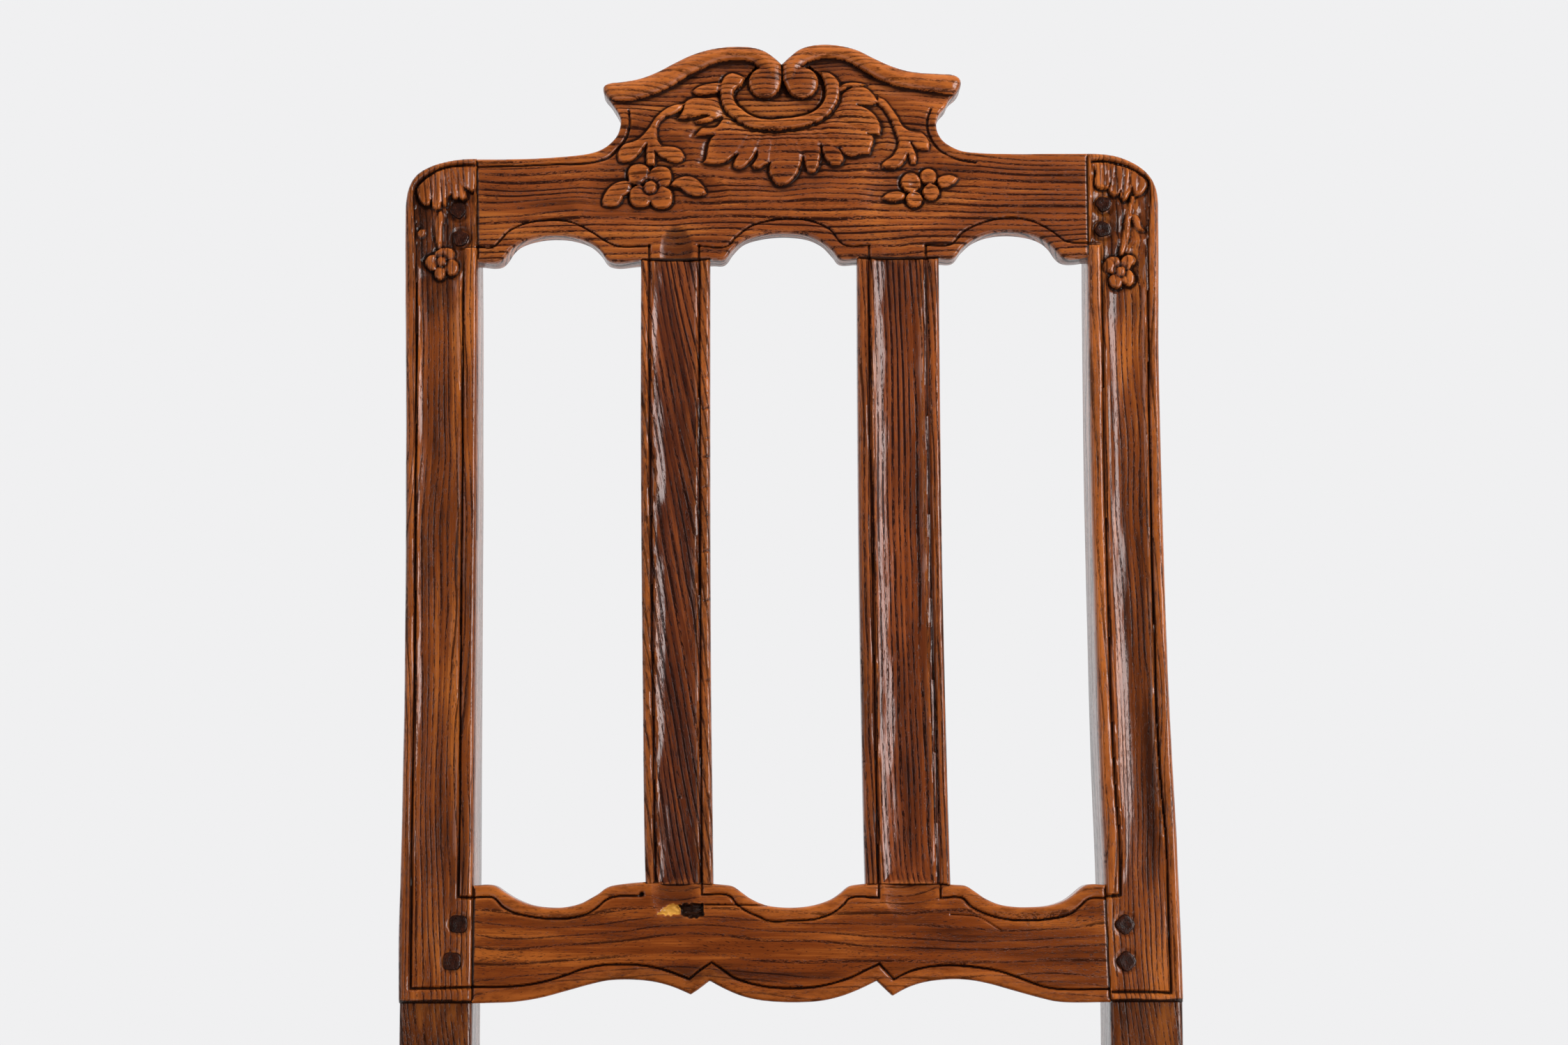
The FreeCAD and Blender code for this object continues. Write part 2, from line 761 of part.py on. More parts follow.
# Seat boards
def seat_boards():
    """The front and the rear board, which meet edge to edge and go round the posts."""
    level = seat_underside
    notch = leg_front - fit_gap
    left_post = -(left_base_reach + seat_post_overhang)
    right_post = right_base_reach + seat_post_overhang
    left_inner = -(left_base_reach - post_base_width) + fit_gap
    right_inner = right_base_reach - post_base_width - fit_gap
    rear = leg_rear - rear_rail_inset
    start = (-seat_half_width, seat_front)
    corners = [
        [(seat_half_width, seat_front)],
        [(right_post, notch)],
        [(right_inner, notch)],
        [(right_inner, rear)],
        [(left_inner, rear)],
        [(left_inner, notch)],
        [(left_post, notch)],
        [start],
    ]
    board = prism(plan, start, corners, level, seat_height)
    upright = [e for e in board.Edges if e.BoundBox.ZLength > fit_gap]
    corners = [e for e in upright if e.BoundBox.YMax < seat_front + overrun]
    board = board.makeFillet(seat_corner_round, corners)
    top_edges = [e for e in board.Edges if e.BoundBox.ZMin > seat_height - fit_gap]
    rims = [e for e in top_edges if e.BoundBox.YMin < notch - seat_corner_round]
    board = board.makeFillet(seat_edge_round, rims)
    seam = seat_front + front_board_share * (rear - seat_front)
    reach = seat_half_width + overrun
    tool = slab((-reach, seat_front - overrun, level - overrun), (reach, seam, seat_height + overrun))
    return board.common(tool), board.cut(tool)


def seat_pegs():
    """The pegs that hold the boards down on the four rails."""
    places = [(share * block_inner, block_front + rail_middle) for share in front_peg_shares]
    rear = leg_rear - rear_rail_inset - seat_rail_thickness / 2
    places += [(share * block_inner, rear) for share in rear_peg_shares]
    for sign in (-1, 1):
        near, far = side_rail_middles(sign)
        for share in side_peg_shares:
            places.append((near + share * (far - near), block_rear + share * (leg_front - block_rear)))
    pegs = []
    for across, back in places:
        foot = FreeCAD.Vector(across, back, seat_underside - seat_peg_hold)
        pegs.append(peg(seat_peg_width, foot, FreeCAD.Vector(across, back, seat_height)))
    return pegs


# Pegs of the frame under the seat
def rows(base, height):
    """The two heights of the pegs in the end of a rail."""
    middle = base + height / 2
    return middle - peg_row_share * height, middle + peg_row_share * height


def front_rail_pegs():
    pegs = []
    middle = block_front + rail_middle + seat_rail_thickness / 2
    for sign in (-1, 1):
        across = sign * (block_inner + leg_tenon_length * peg_setback_share)
        for up in rows(seat_underside - front_rail_height, front_rail_height):
            foot = FreeCAD.Vector(across, block_front, up)
            pegs.append(peg(frame_peg_width, foot, FreeCAD.Vector(across, middle, up)))
    return pegs


def rear_rail_pegs():
    pegs = []
    depth = leg_rear - rear_rail_inset - seat_rail_thickness
    for sign, reach in ((-1, left_base_reach), (1, right_base_reach)):
        across = sign * (reach - post_base_width + post_tenon_length * peg_setback_share)
        for up in rows(seat_underside - rear_rail_height, rear_rail_height):
            foot = FreeCAD.Vector(across, leg_rear, up)
            pegs.append(peg(frame_peg_width, foot, FreeCAD.Vector(across, depth, up)))
    return pegs


def side_rail_pegs(back, which):
    """The pegs through one end of both side rails, the front one or the rear one, driven in from outside."""
    pegs = []
    for sign in (-1, 1):
        inner = side_rail_middles(sign)[which] - sign * seat_rail_thickness / 2
        for up in rows(seat_underside - side_rail_height, side_rail_height):
            outer = (block_outer, outer_at(sign, up))[which]
            foot = FreeCAD.Vector(sign * outer, back, up)
            pegs.append(peg(frame_peg_width, foot, FreeCAD.Vector(inner, back, up)))
    return pegs


# Stretchers
def stretcher_middles(sign):
    """Where a side stretcher meets the front leg and the post, across the chair."""
    base_reach = left_base_reach if sign < 0 else right_base_reach
    near = (block_outer + block_inner) / 2 - leg_stretch_offset
    return sign * near, sign * (base_reach - post_base_width / 2 - foot_taper / 2)


leg_stretch_rear = (block_front + block_rear + leg_stretch_width) / 2 + leg_stretch_offset
stretch_low = stretcher_height - stretcher_depth / 2
stretch_high = stretcher_height + stretcher_depth / 2


def side_stretcher(sign, post_blank):
    """A side stretcher, with its rear end cut to the slope of the post."""
    near, far = stretcher_middles(sign)
    half = stretcher_thickness / 2
    far_end = leg_front + post_kick
    start = (near - half, leg_stretch_rear)
    corners = [[(near + half, leg_stretch_rear)], [(far + half, far_end)], [(far - half, far_end)], [start]]
    board = prism(plan, start, corners, stretch_low, stretch_high)
    hollow = hollow_under(stretch_low, stretcher_rise, leg_stretch_rear, leg_front)
    board = board.cut([hollow, post_blank])
    thin = stretcher_tenon_thickness / 2
    low = stretch_low + stretcher_tenon_shoulder
    high = stretch_high - stretcher_tenon_shoulder
    ahead = leg_stretch_rear - stretcher_tenon_length
    behind = far_end + stretcher_tenon_length / 2
    tenons = [
        slab((near - thin, ahead, low), (near + thin, leg_stretch_rear + overrun, high)),
        slab((far - thin, leg_front - overrun, low), (far + thin, behind, high)),
    ]
    return board.fuse(tenons).removeSplitter()


def hollow_under(base, rise, near, far):
    """A long shallow hollow for the underside of a rail or a stretcher that runs to the back."""
    reach = seat_half_width
    start = (near + seat_rail_thickness, base)
    end = (far - seat_rail_thickness, base)
    runs = [
        [((near + far) / 2, base + rise), end],
        [(end[0], base - overrun)],
        [(start[0], base - overrun)],
        [start],
    ]
    return prism(side, start, runs, -reach, reach)


def cross_ends():
    """Where the cross stretcher's middle line meets the side stretchers, on the left and the right."""
    ends = []
    for sign in (-1, 1):
        near, far = stretcher_middles(sign)
        ends.append(near + cross_place_share * (far - near))
    back = leg_stretch_rear + cross_place_share * (leg_front - leg_stretch_rear)
    return ends[0], ends[1], back


def cross_stretcher(side_blanks):
    """The stretcher between the side stretchers, with its ends cut to them."""
    left, right, back = cross_ends()
    half = stretcher_thickness / 2
    start = (left, stretch_high)
    sag = stretch_low + stretcher_rise
    runs = [
        [(right, stretch_high)],
        [(right, stretch_low)],
        [(right - seat_rail_thickness, stretch_low)],
        [(0, sag), (left + seat_rail_thickness, stretch_low)],
        [(left, stretch_low)],
        [start],
    ]
    board = prism(front, start, runs, back - half, back + half).cut(side_blanks)
    thin = stretcher_tenon_thickness / 2
    reach = stretcher_thickness / 2 - stretcher_tenon_shoulder
    low = stretch_low + 2 * stretcher_tenon_shoulder
    high = stretch_high - stretcher_tenon_shoulder
    tenon = slab((left - reach, back - thin, low), (right + reach, back + thin, high))
    return board.fuse(tenon).removeSplitter()


def outer_at(sign, height):
    """Where the outer face of a post lies below the back, at a height above the floor."""
    base_reach = left_base_reach if sign < 0 else right_base_reach
    return base_reach - foot_taper * (back_base - height) / back_base


def stretcher_pegs():
    """The pegs through the ends of the side stretchers, driven in from the outer faces."""
    pegs = []
    for sign in (-1, 1):
        near, far = stretcher_middles(sign)
        front_face = near + sign * leg_stretch_width / 2
        rear_face = sign * outer_at(sign, stretcher_height)
        ahead = leg_stretch_rear - stretcher_tenon_length / 2
        behind = leg_front + post_kick - stretcher_tenon_length / 2
        for outer, middle, back in ((front_face, near, ahead), (rear_face, far, behind)):
            inner = middle - sign * stretcher_tenon_thickness
            foot = FreeCAD.Vector(outer, back, stretcher_height)
            pegs.append(peg(stretcher_peg_width, foot, FreeCAD.Vector(inner, back, stretcher_height)))
    return pegs


def cross_pegs():
    """The pegs through the side stretchers that pin the cross stretcher, driven from above."""
    left, right, back = cross_ends()
    pegs = []
    for across in (left, right):
        foot = FreeCAD.Vector(across, back, stretch_low + 2 * stretcher_tenon_shoulder)
        pegs.append(peg(stretcher_peg_width, foot, FreeCAD.Vector(across, back, stretch_high)))
    return pegs


def save(name, shapes):
    """Writes one node, which may hold several separate solids."""
    solids = []
    for shape in shapes:
        solids += shape.Solids
    whole = solids[0] if len(solids) == 1 else Part.makeCompound(solids)
    whole.exportStep("parts/" + name + ".step")
    print(name, len(solids))


def make_back():
    """The pieces between the posts, leaned into place: two rails, two slats and the pegs of the rails."""
    crest = crest_rail()
    rail = lower_rail()
    slats = [
        slat(left_slat_drift - left_slat_place, left_slat_drift, left_widths, crest, rail),
        slat(right_slat_place + right_slat_drift, right_slat_drift, right_widths, crest, rail),
    ]
    crest_pegs = []
    rail_pegs = []
    left_insets = (left_crest_peg_inset, left_lower_peg_inset)
    right_insets = (right_crest_peg_inset, right_lower_peg_inset)
    for lines, low, insets, drift, turns in (
        (left_lines, left_crest_peg_low, left_insets, left_peg_drift, left_turns),
        (right_lines, right_crest_peg_low, right_insets, 0, right_turns),
    ):
        base = crest_base_at(lines.inner_at(left_crest_base)) + low
        crest_pegs += back_pegs(lines, base, crest_peg_spacing, insets[0], drift, turns)
        rail_pegs += back_pegs(lines, lower_peg_low, lower_peg_spacing, insets[1], -drift, turns)
    crest = crest.cut([*slats, *crest_pegs])
    rail = rail.cut([*slats, *rail_pegs])
    return [[lean(piece) for piece in group] for group in ([crest], [rail], slats, crest_pegs, rail_pegs)]


def build():
    os.makedirs("parts", exist_ok=True)
    crest, lower, slats, crest_pegs, rail_pegs = make_back()
    blanks = [post_blank(left_lines), post_blank(right_lines)]
    front_rail = front_seat_rail()
    rear_rail = rear_seat_rail()
    side_rails = [side_seat_rail(sign) for sign in (-1, 1)]
    side_stretchers = [side_stretcher(sign, blank) for sign, blank in zip((-1, 1), blanks)]
    cross = cross_stretcher(side_stretchers)
    boards = seat_boards()
    board_pegs = seat_pegs()
    front_pegs = front_rail_pegs()
    rear_pegs = rear_rail_pegs()
    ahead_pegs = side_rail_pegs(block_rear - leg_tenon_length * peg_setback_share, 0)
    behind_pegs = side_rail_pegs(leg_front + post_tenon_length * peg_setback_share, 1)
    end_pegs = stretcher_pegs()
    middle_pegs = cross_pegs()

    in_posts = [*crest, *lower, *crest_pegs, *rail_pegs, rear_rail, *rear_pegs, *behind_pegs, *end_pegs]
    in_legs = [front_rail, *front_pegs, *ahead_pegs, *end_pegs]
    for name, blank, side_rail, stretcher in zip(("left", "right"), blanks, side_rails, side_stretchers):
        save(name + "_rear_post", [blank.cut([*in_posts, side_rail, stretcher])])
        sign = -1 if name == "left" else 1
        save(name + "_front_leg", [front_leg(sign, [*in_legs, side_rail, stretcher])])
        save(name + "_seat_rail", [side_rail.cut([*ahead_pegs, *behind_pegs, *board_pegs])])
        save(name + "_side_stretcher", [stretcher.cut([*end_pegs, cross, *middle_pegs])])
    save("crest_rail", crest)
    save("lower_back_rail", lower)
    save("left_back_slat", slats[:1])
    save("right_back_slat", slats[1:])
    save("front_seat_rail", [front_rail.cut([*front_pegs, *board_pegs])])
    save("rear_seat_rail", [rear_rail.cut([*rear_pegs, *board_pegs])])
    save("cross_stretcher", [cross.cut(middle_pegs)])
    save("front_seat_board", [boards[0].cut(board_pegs)])
    save("rear_seat_board", [boards[1].cut(board_pegs)])
    save("crest_rail_pegs", crest_pegs)
    save("lower_back_rail_pegs", rail_pegs)
    save("seat_board_pegs", board_pegs)
    save("front_rail_pegs", front_pegs)
    save("rear_rail_pegs", rear_pegs)
    save("side_rail_front_pegs", ahead_pegs)
    save("side_rail_rear_pegs", behind_pegs)
    save("side_stretcher_pegs", end_pegs)
    save("cross_stretcher_pegs", middle_pegs)


build()
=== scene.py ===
"""The looks of the carved chair: worn, waxed ash, with the back carved as the photograph shows it.

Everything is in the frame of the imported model. The pieces of the back are drawn in millimetres on its
sloping front plane, across the chair, up the slope and in depth, and are then leaned into place.
"""
import bmesh
import bpy
import math
import numpy as np
from mathutils import Euler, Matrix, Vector
from types import SimpleNamespace


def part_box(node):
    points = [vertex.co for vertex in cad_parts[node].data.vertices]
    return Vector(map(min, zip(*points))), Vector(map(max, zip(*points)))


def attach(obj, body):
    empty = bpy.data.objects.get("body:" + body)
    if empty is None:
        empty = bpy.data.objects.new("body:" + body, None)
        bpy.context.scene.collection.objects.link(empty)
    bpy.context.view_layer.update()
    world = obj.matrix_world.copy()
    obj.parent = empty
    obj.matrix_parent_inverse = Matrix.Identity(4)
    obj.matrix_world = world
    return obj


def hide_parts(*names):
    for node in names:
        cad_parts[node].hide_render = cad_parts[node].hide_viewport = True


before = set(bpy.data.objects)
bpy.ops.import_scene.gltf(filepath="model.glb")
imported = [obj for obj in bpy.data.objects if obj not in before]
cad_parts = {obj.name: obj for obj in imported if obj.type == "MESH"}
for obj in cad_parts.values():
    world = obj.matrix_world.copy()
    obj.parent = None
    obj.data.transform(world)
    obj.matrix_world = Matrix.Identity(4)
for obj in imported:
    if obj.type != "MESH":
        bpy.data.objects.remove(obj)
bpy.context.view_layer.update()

MM = 0.001
SEAT_REACH = 400.0
BACK_BASE = 530.0
RAKE = math.radians(8.0)
BACK_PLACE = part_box("front_seat_board")[0].y / MM + SEAT_REACH

# Outlines on the back, in millimetres: across from the middle of the chair, and up the slope
LEFT_POST_OUTER = [(-224.5, 0), (-224.9, 16.1), (-225.2, 39.7), (-224.9, 67.4), (-224.6, 95.3),
    (-224.5, 135.3), (-224.4, 175.6), (-224.8, 216.2), (-225.1, 257.1), (-225.8, 298.3), (-226.4, 339.7),
    (-227.3, 381.5), (-228.3, 423.6), (-228.9, 460.0), (-228.9, 469.0), (-227.6, 478.5), (-224.6, 485.4),
    (-220.5, 489.6), (-214.0, 493.2), (-208.0, 495.2), (-200.0, 497.0), (-192.0, 497.7), (-186.9, 497.8)]
LEFT_POST_INNER = [(-186.9, 497.8), (-185.2, 423.7), (-184.6, 381.6), (-184.3, 339.8), (-183.8, 298.3),
    (-183.6, 257.1), (-183.4, 216.2), (-183.2, 175.6), (-183.0, 135.3), (-182.7, 81.3), (-182.6, 55.5),
    (-182.6, 16), (-182.6, 0)]
RIGHT_POST_INNER = [(183.3, 0), (182.6, 15.4), (181.7, 55.0), (181.3, 78.8), (179.7, 134.9), (179.0, 175.3),
    (178.5, 216.0), (178.0, 257.0), (177.6, 298.3), (177.5, 339.9), (177.6, 381.8), (177.7, 424.0),
    (178.4, 501.6)]
RIGHT_POST_OUTER = [(178.4, 501.6), (184.0, 501.5), (190.6, 500.9), (196.0, 499.9), (201.5, 498.0),
    (207.4, 495.0), (212.6, 491.2), (216.8, 486.2), (219.4, 480.0), (220.5, 472.5), (220.5, 464.0),
    (219.9, 424.0), (219.0, 381.8), (219.0, 339.9), (219.2, 298.3), (219.5, 257.0), (220.0, 216.0),
    (220.8, 175.3), (222.0, 134.9), (223.5, 94.7), (224.0, 70.8), (224.6, 47.0), (225.0, 23.2), (225.3, 0)]
CREST_TOP_LEFT = [(-186.9, 497.3), (-169.2, 497.3), (-154.3, 497.7), (-139.3, 498.6), (-129.3, 499.5),
    (-121.9, 500.5), (-116.9, 501.7), (-113.2, 503.3), (-109.4, 505.7), (-106.1, 508.7), (-103.0, 512.8),
    (-101.4, 517.5), (-101.2, 521.8), (-102.7, 526.1), (-105.2, 530.4), (-107.7, 534.3), (-110.3, 537.3),
    (-111.8, 540.3), (-111.4, 543.0), (-108.9, 544.6), (-99.7, 545.9), (-89.7, 547.9), (-79.7, 551.8),
    (-69.7, 557.2), (-59.7, 562.2), (-49.7, 565.6), (-39.6, 567.4), (-29.6, 567.9), (-20.5, 567.0),
    (-14.5, 564.9), (-9.5, 561.5), (-4.5, 556.9)]
CREST_TOP_RIGHT = [(-4.5, 556.9), (0.6, 561.9), (5.6, 565.9), (11.6, 568.2), (20.7, 569.3), (30.8, 568.5),
    (40.8, 565.9), (50.8, 560.9), (60.8, 556.2), (70.9, 553.0), (80.9, 551.6), (90.9, 551.1),
    (100.5, 549.8), (103.0, 547.4), (103.1, 543.7), (100.7, 539.4), (96.2, 535.3), (93.9, 530.7),
    (90.2, 526.4), (88.5, 522.1), (88.2, 517.8), (89.4, 513.5), (92.3, 509.2), (97.2, 505.4),
    (103.0, 502.9), (115.5, 501.5), (135.5, 501.0), (160.5, 501.2), (178.4, 501.3)]
CREST_UNDERSIDE = [(178.4, 437.9), (163.2, 437.9), (155.5, 445.6), (148.1, 450.3), (139.9, 452.6),
    (129.5, 453.4), (119.1, 452.3), (110.7, 449.2), (103.2, 443.9), (97.7, 437.5), (89.5, 437.1),
    (39.3, 436.8), (29.6, 437.0), (25.6, 441.7), (19.4, 446.8), (11.2, 450.7), (0.8, 452.3), (-7.5, 452.3),
    (-17.9, 450.9), (-27.0, 447.9), (-33.6, 442.9), (-38.9, 436.4), (-45.2, 436.1), (-89.0, 435.6),
    (-107.6, 435.6), (-113.1, 442.2), (-119.3, 446.6), (-129.7, 450.0), (-139.2, 450.8), (-148.3, 450.0),
    (-157.8, 447.4), (-164.8, 443.2), (-172.0, 435.2), (-185.4, 435.1)]
RAIL_TOP = [(-182.6, 67.0), (-170.9, 67.0), (-164.8, 63.2), (-158.4, 59.4), (-149.2, 55.8), (-139.6, 54.4),
    (-130.0, 54.5), (-120.4, 56.8), (-115.6, 59.3), (-110.8, 62.1), (-106.1, 65.5), (-101.5, 67.0),
    (-37.0, 67.0), (-33.2, 66.2), (-28.8, 63.2), (-23.1, 59.2), (-14.7, 55.6), (-5.1, 54.2), (4.5, 54.2),
    (14.1, 55.6), (23.7, 59.0), (28.6, 62.3), (33.4, 66.1), (36.2, 66.9), (96.6, 66.9), (100.8, 66.4),
    (106.4, 63.0), (112.0, 59.2), (119.9, 55.8), (129.5, 54.3), (139.2, 54.2), (148.8, 55.0), (158.5, 58.2),
    (163.4, 61.5), (168.3, 65.5), (171.0, 66.9), (181.5, 66.9)]
RAIL_UNDERSIDE = [(183.2, 0), (152.8, 0.4), (143.2, 2.5), (128.9, 6.4), (114.6, 10.4), (105.0, 12.4),
    (95.4, 13.2), (85.8, 12.8), (76.2, 11.4), (66.6, 8.3), (58.2, 3.8), (49.2, 12.3), (44.3, 9.9),
    (37.9, 7.0), (28.3, 3.5), (18.7, 1.3), (9.2, 0.4), (-5.2, 0.4), (-19.5, 1.8), (-29.1, 4.2),
    (-38.7, 8.3), (-46.6, 12.5), (-53.8, 7.1), (-57.4, 4.8), (-67.4, 9.0), (-77.0, 11.7), (-86.5, 13.0),
    (-96.1, 13.3), (-105.6, 12.7), (-115.2, 10.6), (-129.5, 6.7), (-143.8, 3.0), (-158.1, 0.8),
    (-172.4, 0.2), (-182.6, 0)]
LEFT_SLAT_LEFT = [(-83.7, 66.0), (-84.6, 95.1), (-85.9, 175.5), (-87.2, 257.1), (-88.1, 339.8),
    (-88.5, 437.0)]
LEFT_SLAT_RIGHT = [(-47.3, 437.0), (-47.1, 339.8), (-46.8, 257.1), (-46.2, 175.5), (-45.0, 95.1),
    (-44.6, 66.0)]
RIGHT_SLAT_LEFT = [(43.0, 66.0), (42.4, 95.0), (41.2, 175.4), (40.4, 257.0), (40.1, 339.9), (40.1, 438.0)]
RIGHT_SLAT_RIGHT = [(88.9, 438.0), (88.9, 339.9), (89.2, 257.0), (90.2, 175.4), (91.6, 94.9), (92.2, 66.0)]

# Carving, in the same measure
LEFT_MOULDING_EDGE = [(-111.8, 539.1), (-109, 536.2), (-105, 534), (-99.8, 533.3), (-95, 533.7),
    (-86.3, 535.8), (-77.5, 539.3), (-70.3, 542.8), (-63.2, 547.6), (-58.4, 550.7), (-52.8, 553.2),
    (-46.4, 556.4), (-39.2, 558.4), (-32, 559.2), (-25.2, 558.6), (-21.2, 557), (-18.4, 554.1)]
RIGHT_MOULDING_EDGE = [(101.5, 539.4), (97.5, 537.9), (90.3, 538.6), (82.3, 539.7), (74.3, 541),
    (66.3, 542.7), (59.9, 544.7), (54.3, 547.2), (49.6, 549.7), (44, 553.1), (38.4, 556.4), (32.8, 559),
    (26.4, 560.3), (20, 560.3), (13.6, 558.7), (9.6, 556.5), (7.3, 554)]
LEFT_BALL = (-14.8, 545)
RIGHT_BALL = (7.8, 545)
SCROLL_OUTER = [(-27.2, 548.1), (-30.4, 549.7), (-34.5, 550.8), (-38, 549.3), (-40.4, 545.8),
    (-41.4, 541.6), (-41.4, 536.7), (-40.1, 530.9), (-37.4, 526.4), (-33.4, 522.9), (-29.6, 520.1),
    (-24, 517.4), (-17.6, 516), (-10.4, 515.3), (-8.9, 515.2), (2.3, 516.6), (11.9, 518.8), (18.2, 521.3),
    (23.4, 524.8), (27.2, 529.6), (29.5, 534.3), (30.3, 540.9), (29.5, 545.7), (26.3, 549.5), (22.7, 551.5),
    (18.3, 551.5)]
SCROLL_INNER = [(19, 549.6), (20.9, 545.1), (21.9, 540.1), (21.1, 534.7), (17.6, 529.5), (11.9, 525.9),
    (3.9, 523.7), (-5.7, 522.6), (-10.4, 522.1), (-18.4, 522.9), (-24, 525.2), (-28.4, 528.5), (-32, 531.9),
    (-33.6, 536.3), (-32.8, 540.4), (-28.6, 543.7), (-27, 546.8)]
SHELL = [(-37.6, 535.1), (-41.6, 536.3), (-50.3, 535.2), (-56.3, 535.4), (-60.3, 534.4), (-62.9, 531.9),
    (-63.5, 528.4), (-65.1, 525.1), (-66.7, 522.8), (-62.7, 522.5), (-58.3, 523.6), (-50.3, 525.1),
    (-47.9, 524.3), (-51.9, 522.8), (-56.5, 521.2), (-55.1, 519.7), (-50.3, 520.2), (-45.5, 521.7),
    (-40.7, 524.5), (-39.3, 523.3), (-41.4, 520.2), (-43.9, 517.3), (-48.3, 516.8), (-52.7, 516.5),
    (-54.7, 514.3), (-56.5, 511.8), (-51.9, 512.4), (-44.9, 512.6), (-47.1, 509.9), (-48.5, 506.1),
    (-49.3, 501.7), (-49.8, 498.2), (-51.3, 495.6), (-47, 494.8), (-41.5, 495.1), (-37.3, 496.4),
    (-33.9, 499.3), (-30.5, 500.9), (-33.1, 495.6), (-33.4, 493.1), (-30.7, 491.8), (-27.1, 493),
    (-23.2, 496.8), (-19.3, 502.6), (-19.2, 498.9), (-20.6, 496.4), (-22.4, 493.8), (-20.9, 491.9),
    (-17.6, 492.3), (-14.8, 494.2), (-11.4, 495.4), (-12.2, 490.5), (-11.2, 486.8), (-8.8, 483.3),
    (-7.7, 481.9), (-5, 481.4), (-1.8, 482.3), (2.2, 485.4), (4.8, 488.9), (6.4, 493.4), (8.2, 499.1),
    (9.4, 495.3), (10.6, 490.5), (12.7, 489.5), (15.4, 490.1), (17, 492.6), (18.2, 497.5), (18.8, 506.5),
    (20.7, 499.6), (22.3, 496.9), (24.9, 494.6), (27.7, 494.2), (30.7, 494.7), (32.3, 497.5), (31.5, 501),
    (29.7, 504.1), (33.3, 500.4), (38.1, 499.4), (42.1, 500.6), (47.8, 501.1), (49.1, 504.5), (50.3, 509.3),
    (49.7, 512.3), (46.9, 513.4), (54, 513.1), (54.6, 516.9), (52.7, 522.6), (49.4, 526.7), (45.4, 529.4),
    (41, 531.3), (45.4, 531.1), (50.2, 531.7), (53.6, 532.9), (50.3, 537.7), (47.1, 541), (43.9, 542.6),
    (39.1, 542.6), (35.5, 541.1), (31.9, 539.3), (26.3, 535.2), (18.3, 526.9), (2.3, 520.3), (-10.4, 519),
    (-22.4, 521.1), (-32, 526.8)]
LEFT_SMALL_LEAF = [(-40.8, 545), (-48.8, 544.1), (-54.3, 542.5), (-58.3, 539.6), (-55.3, 537.3),
    (-50.3, 537.5), (-45.6, 538.3), (-40.8, 539.2)]
RIGHT_SMALL_LEAF = [(29.9, 542.6), (34.3, 544.7), (40.7, 545.1), (45.9, 544.1), (42.3, 542.8),
    (35.9, 541.8), (30.3, 539.3)]
LEFT_VINE = [(-62.9, 531.9), (-67.9, 531.3), (-72.3, 529.6), (-76.6, 526.7), (-80, 523.3), (-82.6, 519.2),
    (-86.1, 514.2), (-89.9, 510.3), (-94.1, 508.2), (-98.8, 506.8), (-101.8, 503.3), (-102.9, 499.6),
    (-102.1, 496.3), (-99.6, 495.7), (-95.2, 496.3), (-90.7, 499.6), (-87.7, 503.7), (-85.3, 507),
    (-85.7, 502.1), (-85.4, 493.9), (-80.6, 493.1), (-80.3, 498.8), (-80.7, 502.5), (-78.3, 500),
    (-74.1, 497.3), (-68.5, 495.7), (-64.4, 496.4), (-62.8, 498.8), (-63.9, 501.5), (-67, 504.4),
    (-71.8, 505.4), (-76.4, 505.4), (-78.5, 508.7), (-79.4, 513.6), (-78.6, 518.5), (-76.6, 521.6),
    (-74.2, 523.6), (-70.3, 525.1), (-64.7, 528.4)]
RIGHT_VINE = [(53.5, 536.2), (56.7, 534.6), (59.2, 531.9), (62.2, 527.8), (65.4, 522.9), (67.7, 518.6),
    (70.9, 515.9), (74.9, 514.8), (79, 514.2), (82, 511.4), (83.9, 507.3), (83.2, 503.6), (79.6, 503.7),
    (75.6, 504.8), (72.8, 507.7), (74.4, 504), (76, 499), (75.5, 494.9), (72.7, 494.9), (70.9, 500.7),
    (69.2, 497), (66.8, 493.9), (62.8, 491.6), (58.4, 491.5), (55.4, 492.9), (55.6, 494.9), (58, 497),
    (61.6, 499.4), (64.4, 503.9), (65.4, 508.1), (64.1, 513), (62.1, 518.7), (59.8, 523.7), (56.6, 528.6),
    (53.1, 532.7)]
LEFT_LEAF_A = [(-94.3, 484), (-97.9, 484.2), (-102.7, 483.2), (-107, 480.6), (-110.1, 476.5), (-111.7, 472),
    (-111.3, 469.1), (-108.1, 468.5), (-102.9, 469.1), (-100.2, 472), (-99, 474.8), (-95.5, 476.9),
    (-94.3, 478.9)]
LEFT_LEAF_B = [(-71.3, 481.4), (-69.3, 484.3), (-65.3, 486.3), (-60.5, 487), (-56.2, 485.5), (-52.6, 482.3),
    (-50.6, 479), (-49.8, 476.4), (-52.6, 475.1), (-56.5, 474.9), (-60.9, 476.4), (-64.5, 479),
    (-67.7, 480.4)]
LEFT_PETALS = [(-90, 487.8), (-77.2, 486.3), (-88.9, 474.7), (-76.5, 473.7)]
CREST_BUTTON = (-83.2, 480.2)
RIGHT_PETALS = [(72.6, 483.2), (83, 486.9), (84.5, 477.5), (74.4, 473)]
RIGHT_LEAF_A = [(69.4, 476.3), (65.8, 477.7), (61.9, 477.7), (57.9, 476.3), (55.5, 473.8), (58.6, 471.8),
    (62.6, 471.4), (66.6, 472.6), (69, 474.2)]
RIGHT_LEAF_B = [(88.2, 485.7), (91.4, 487.5), (96.2, 488), (101.1, 486.1), (98.5, 482.9), (94.5, 480.7),
    (90.5, 480.2), (88.6, 482.4)]
LEFT_NECK_LINE = [(-96.4, 527.4), (-95.8, 521.8), (-96, 516.8), (-97.1, 512.7), (-99.2, 508.6),
    (-102.8, 504.1), (-107.5, 499.2), (-113.9, 496.3), (-121.8, 494.7), (-138.4, 494.1), (-163.3, 493),
    (-186.6, 492.5)]
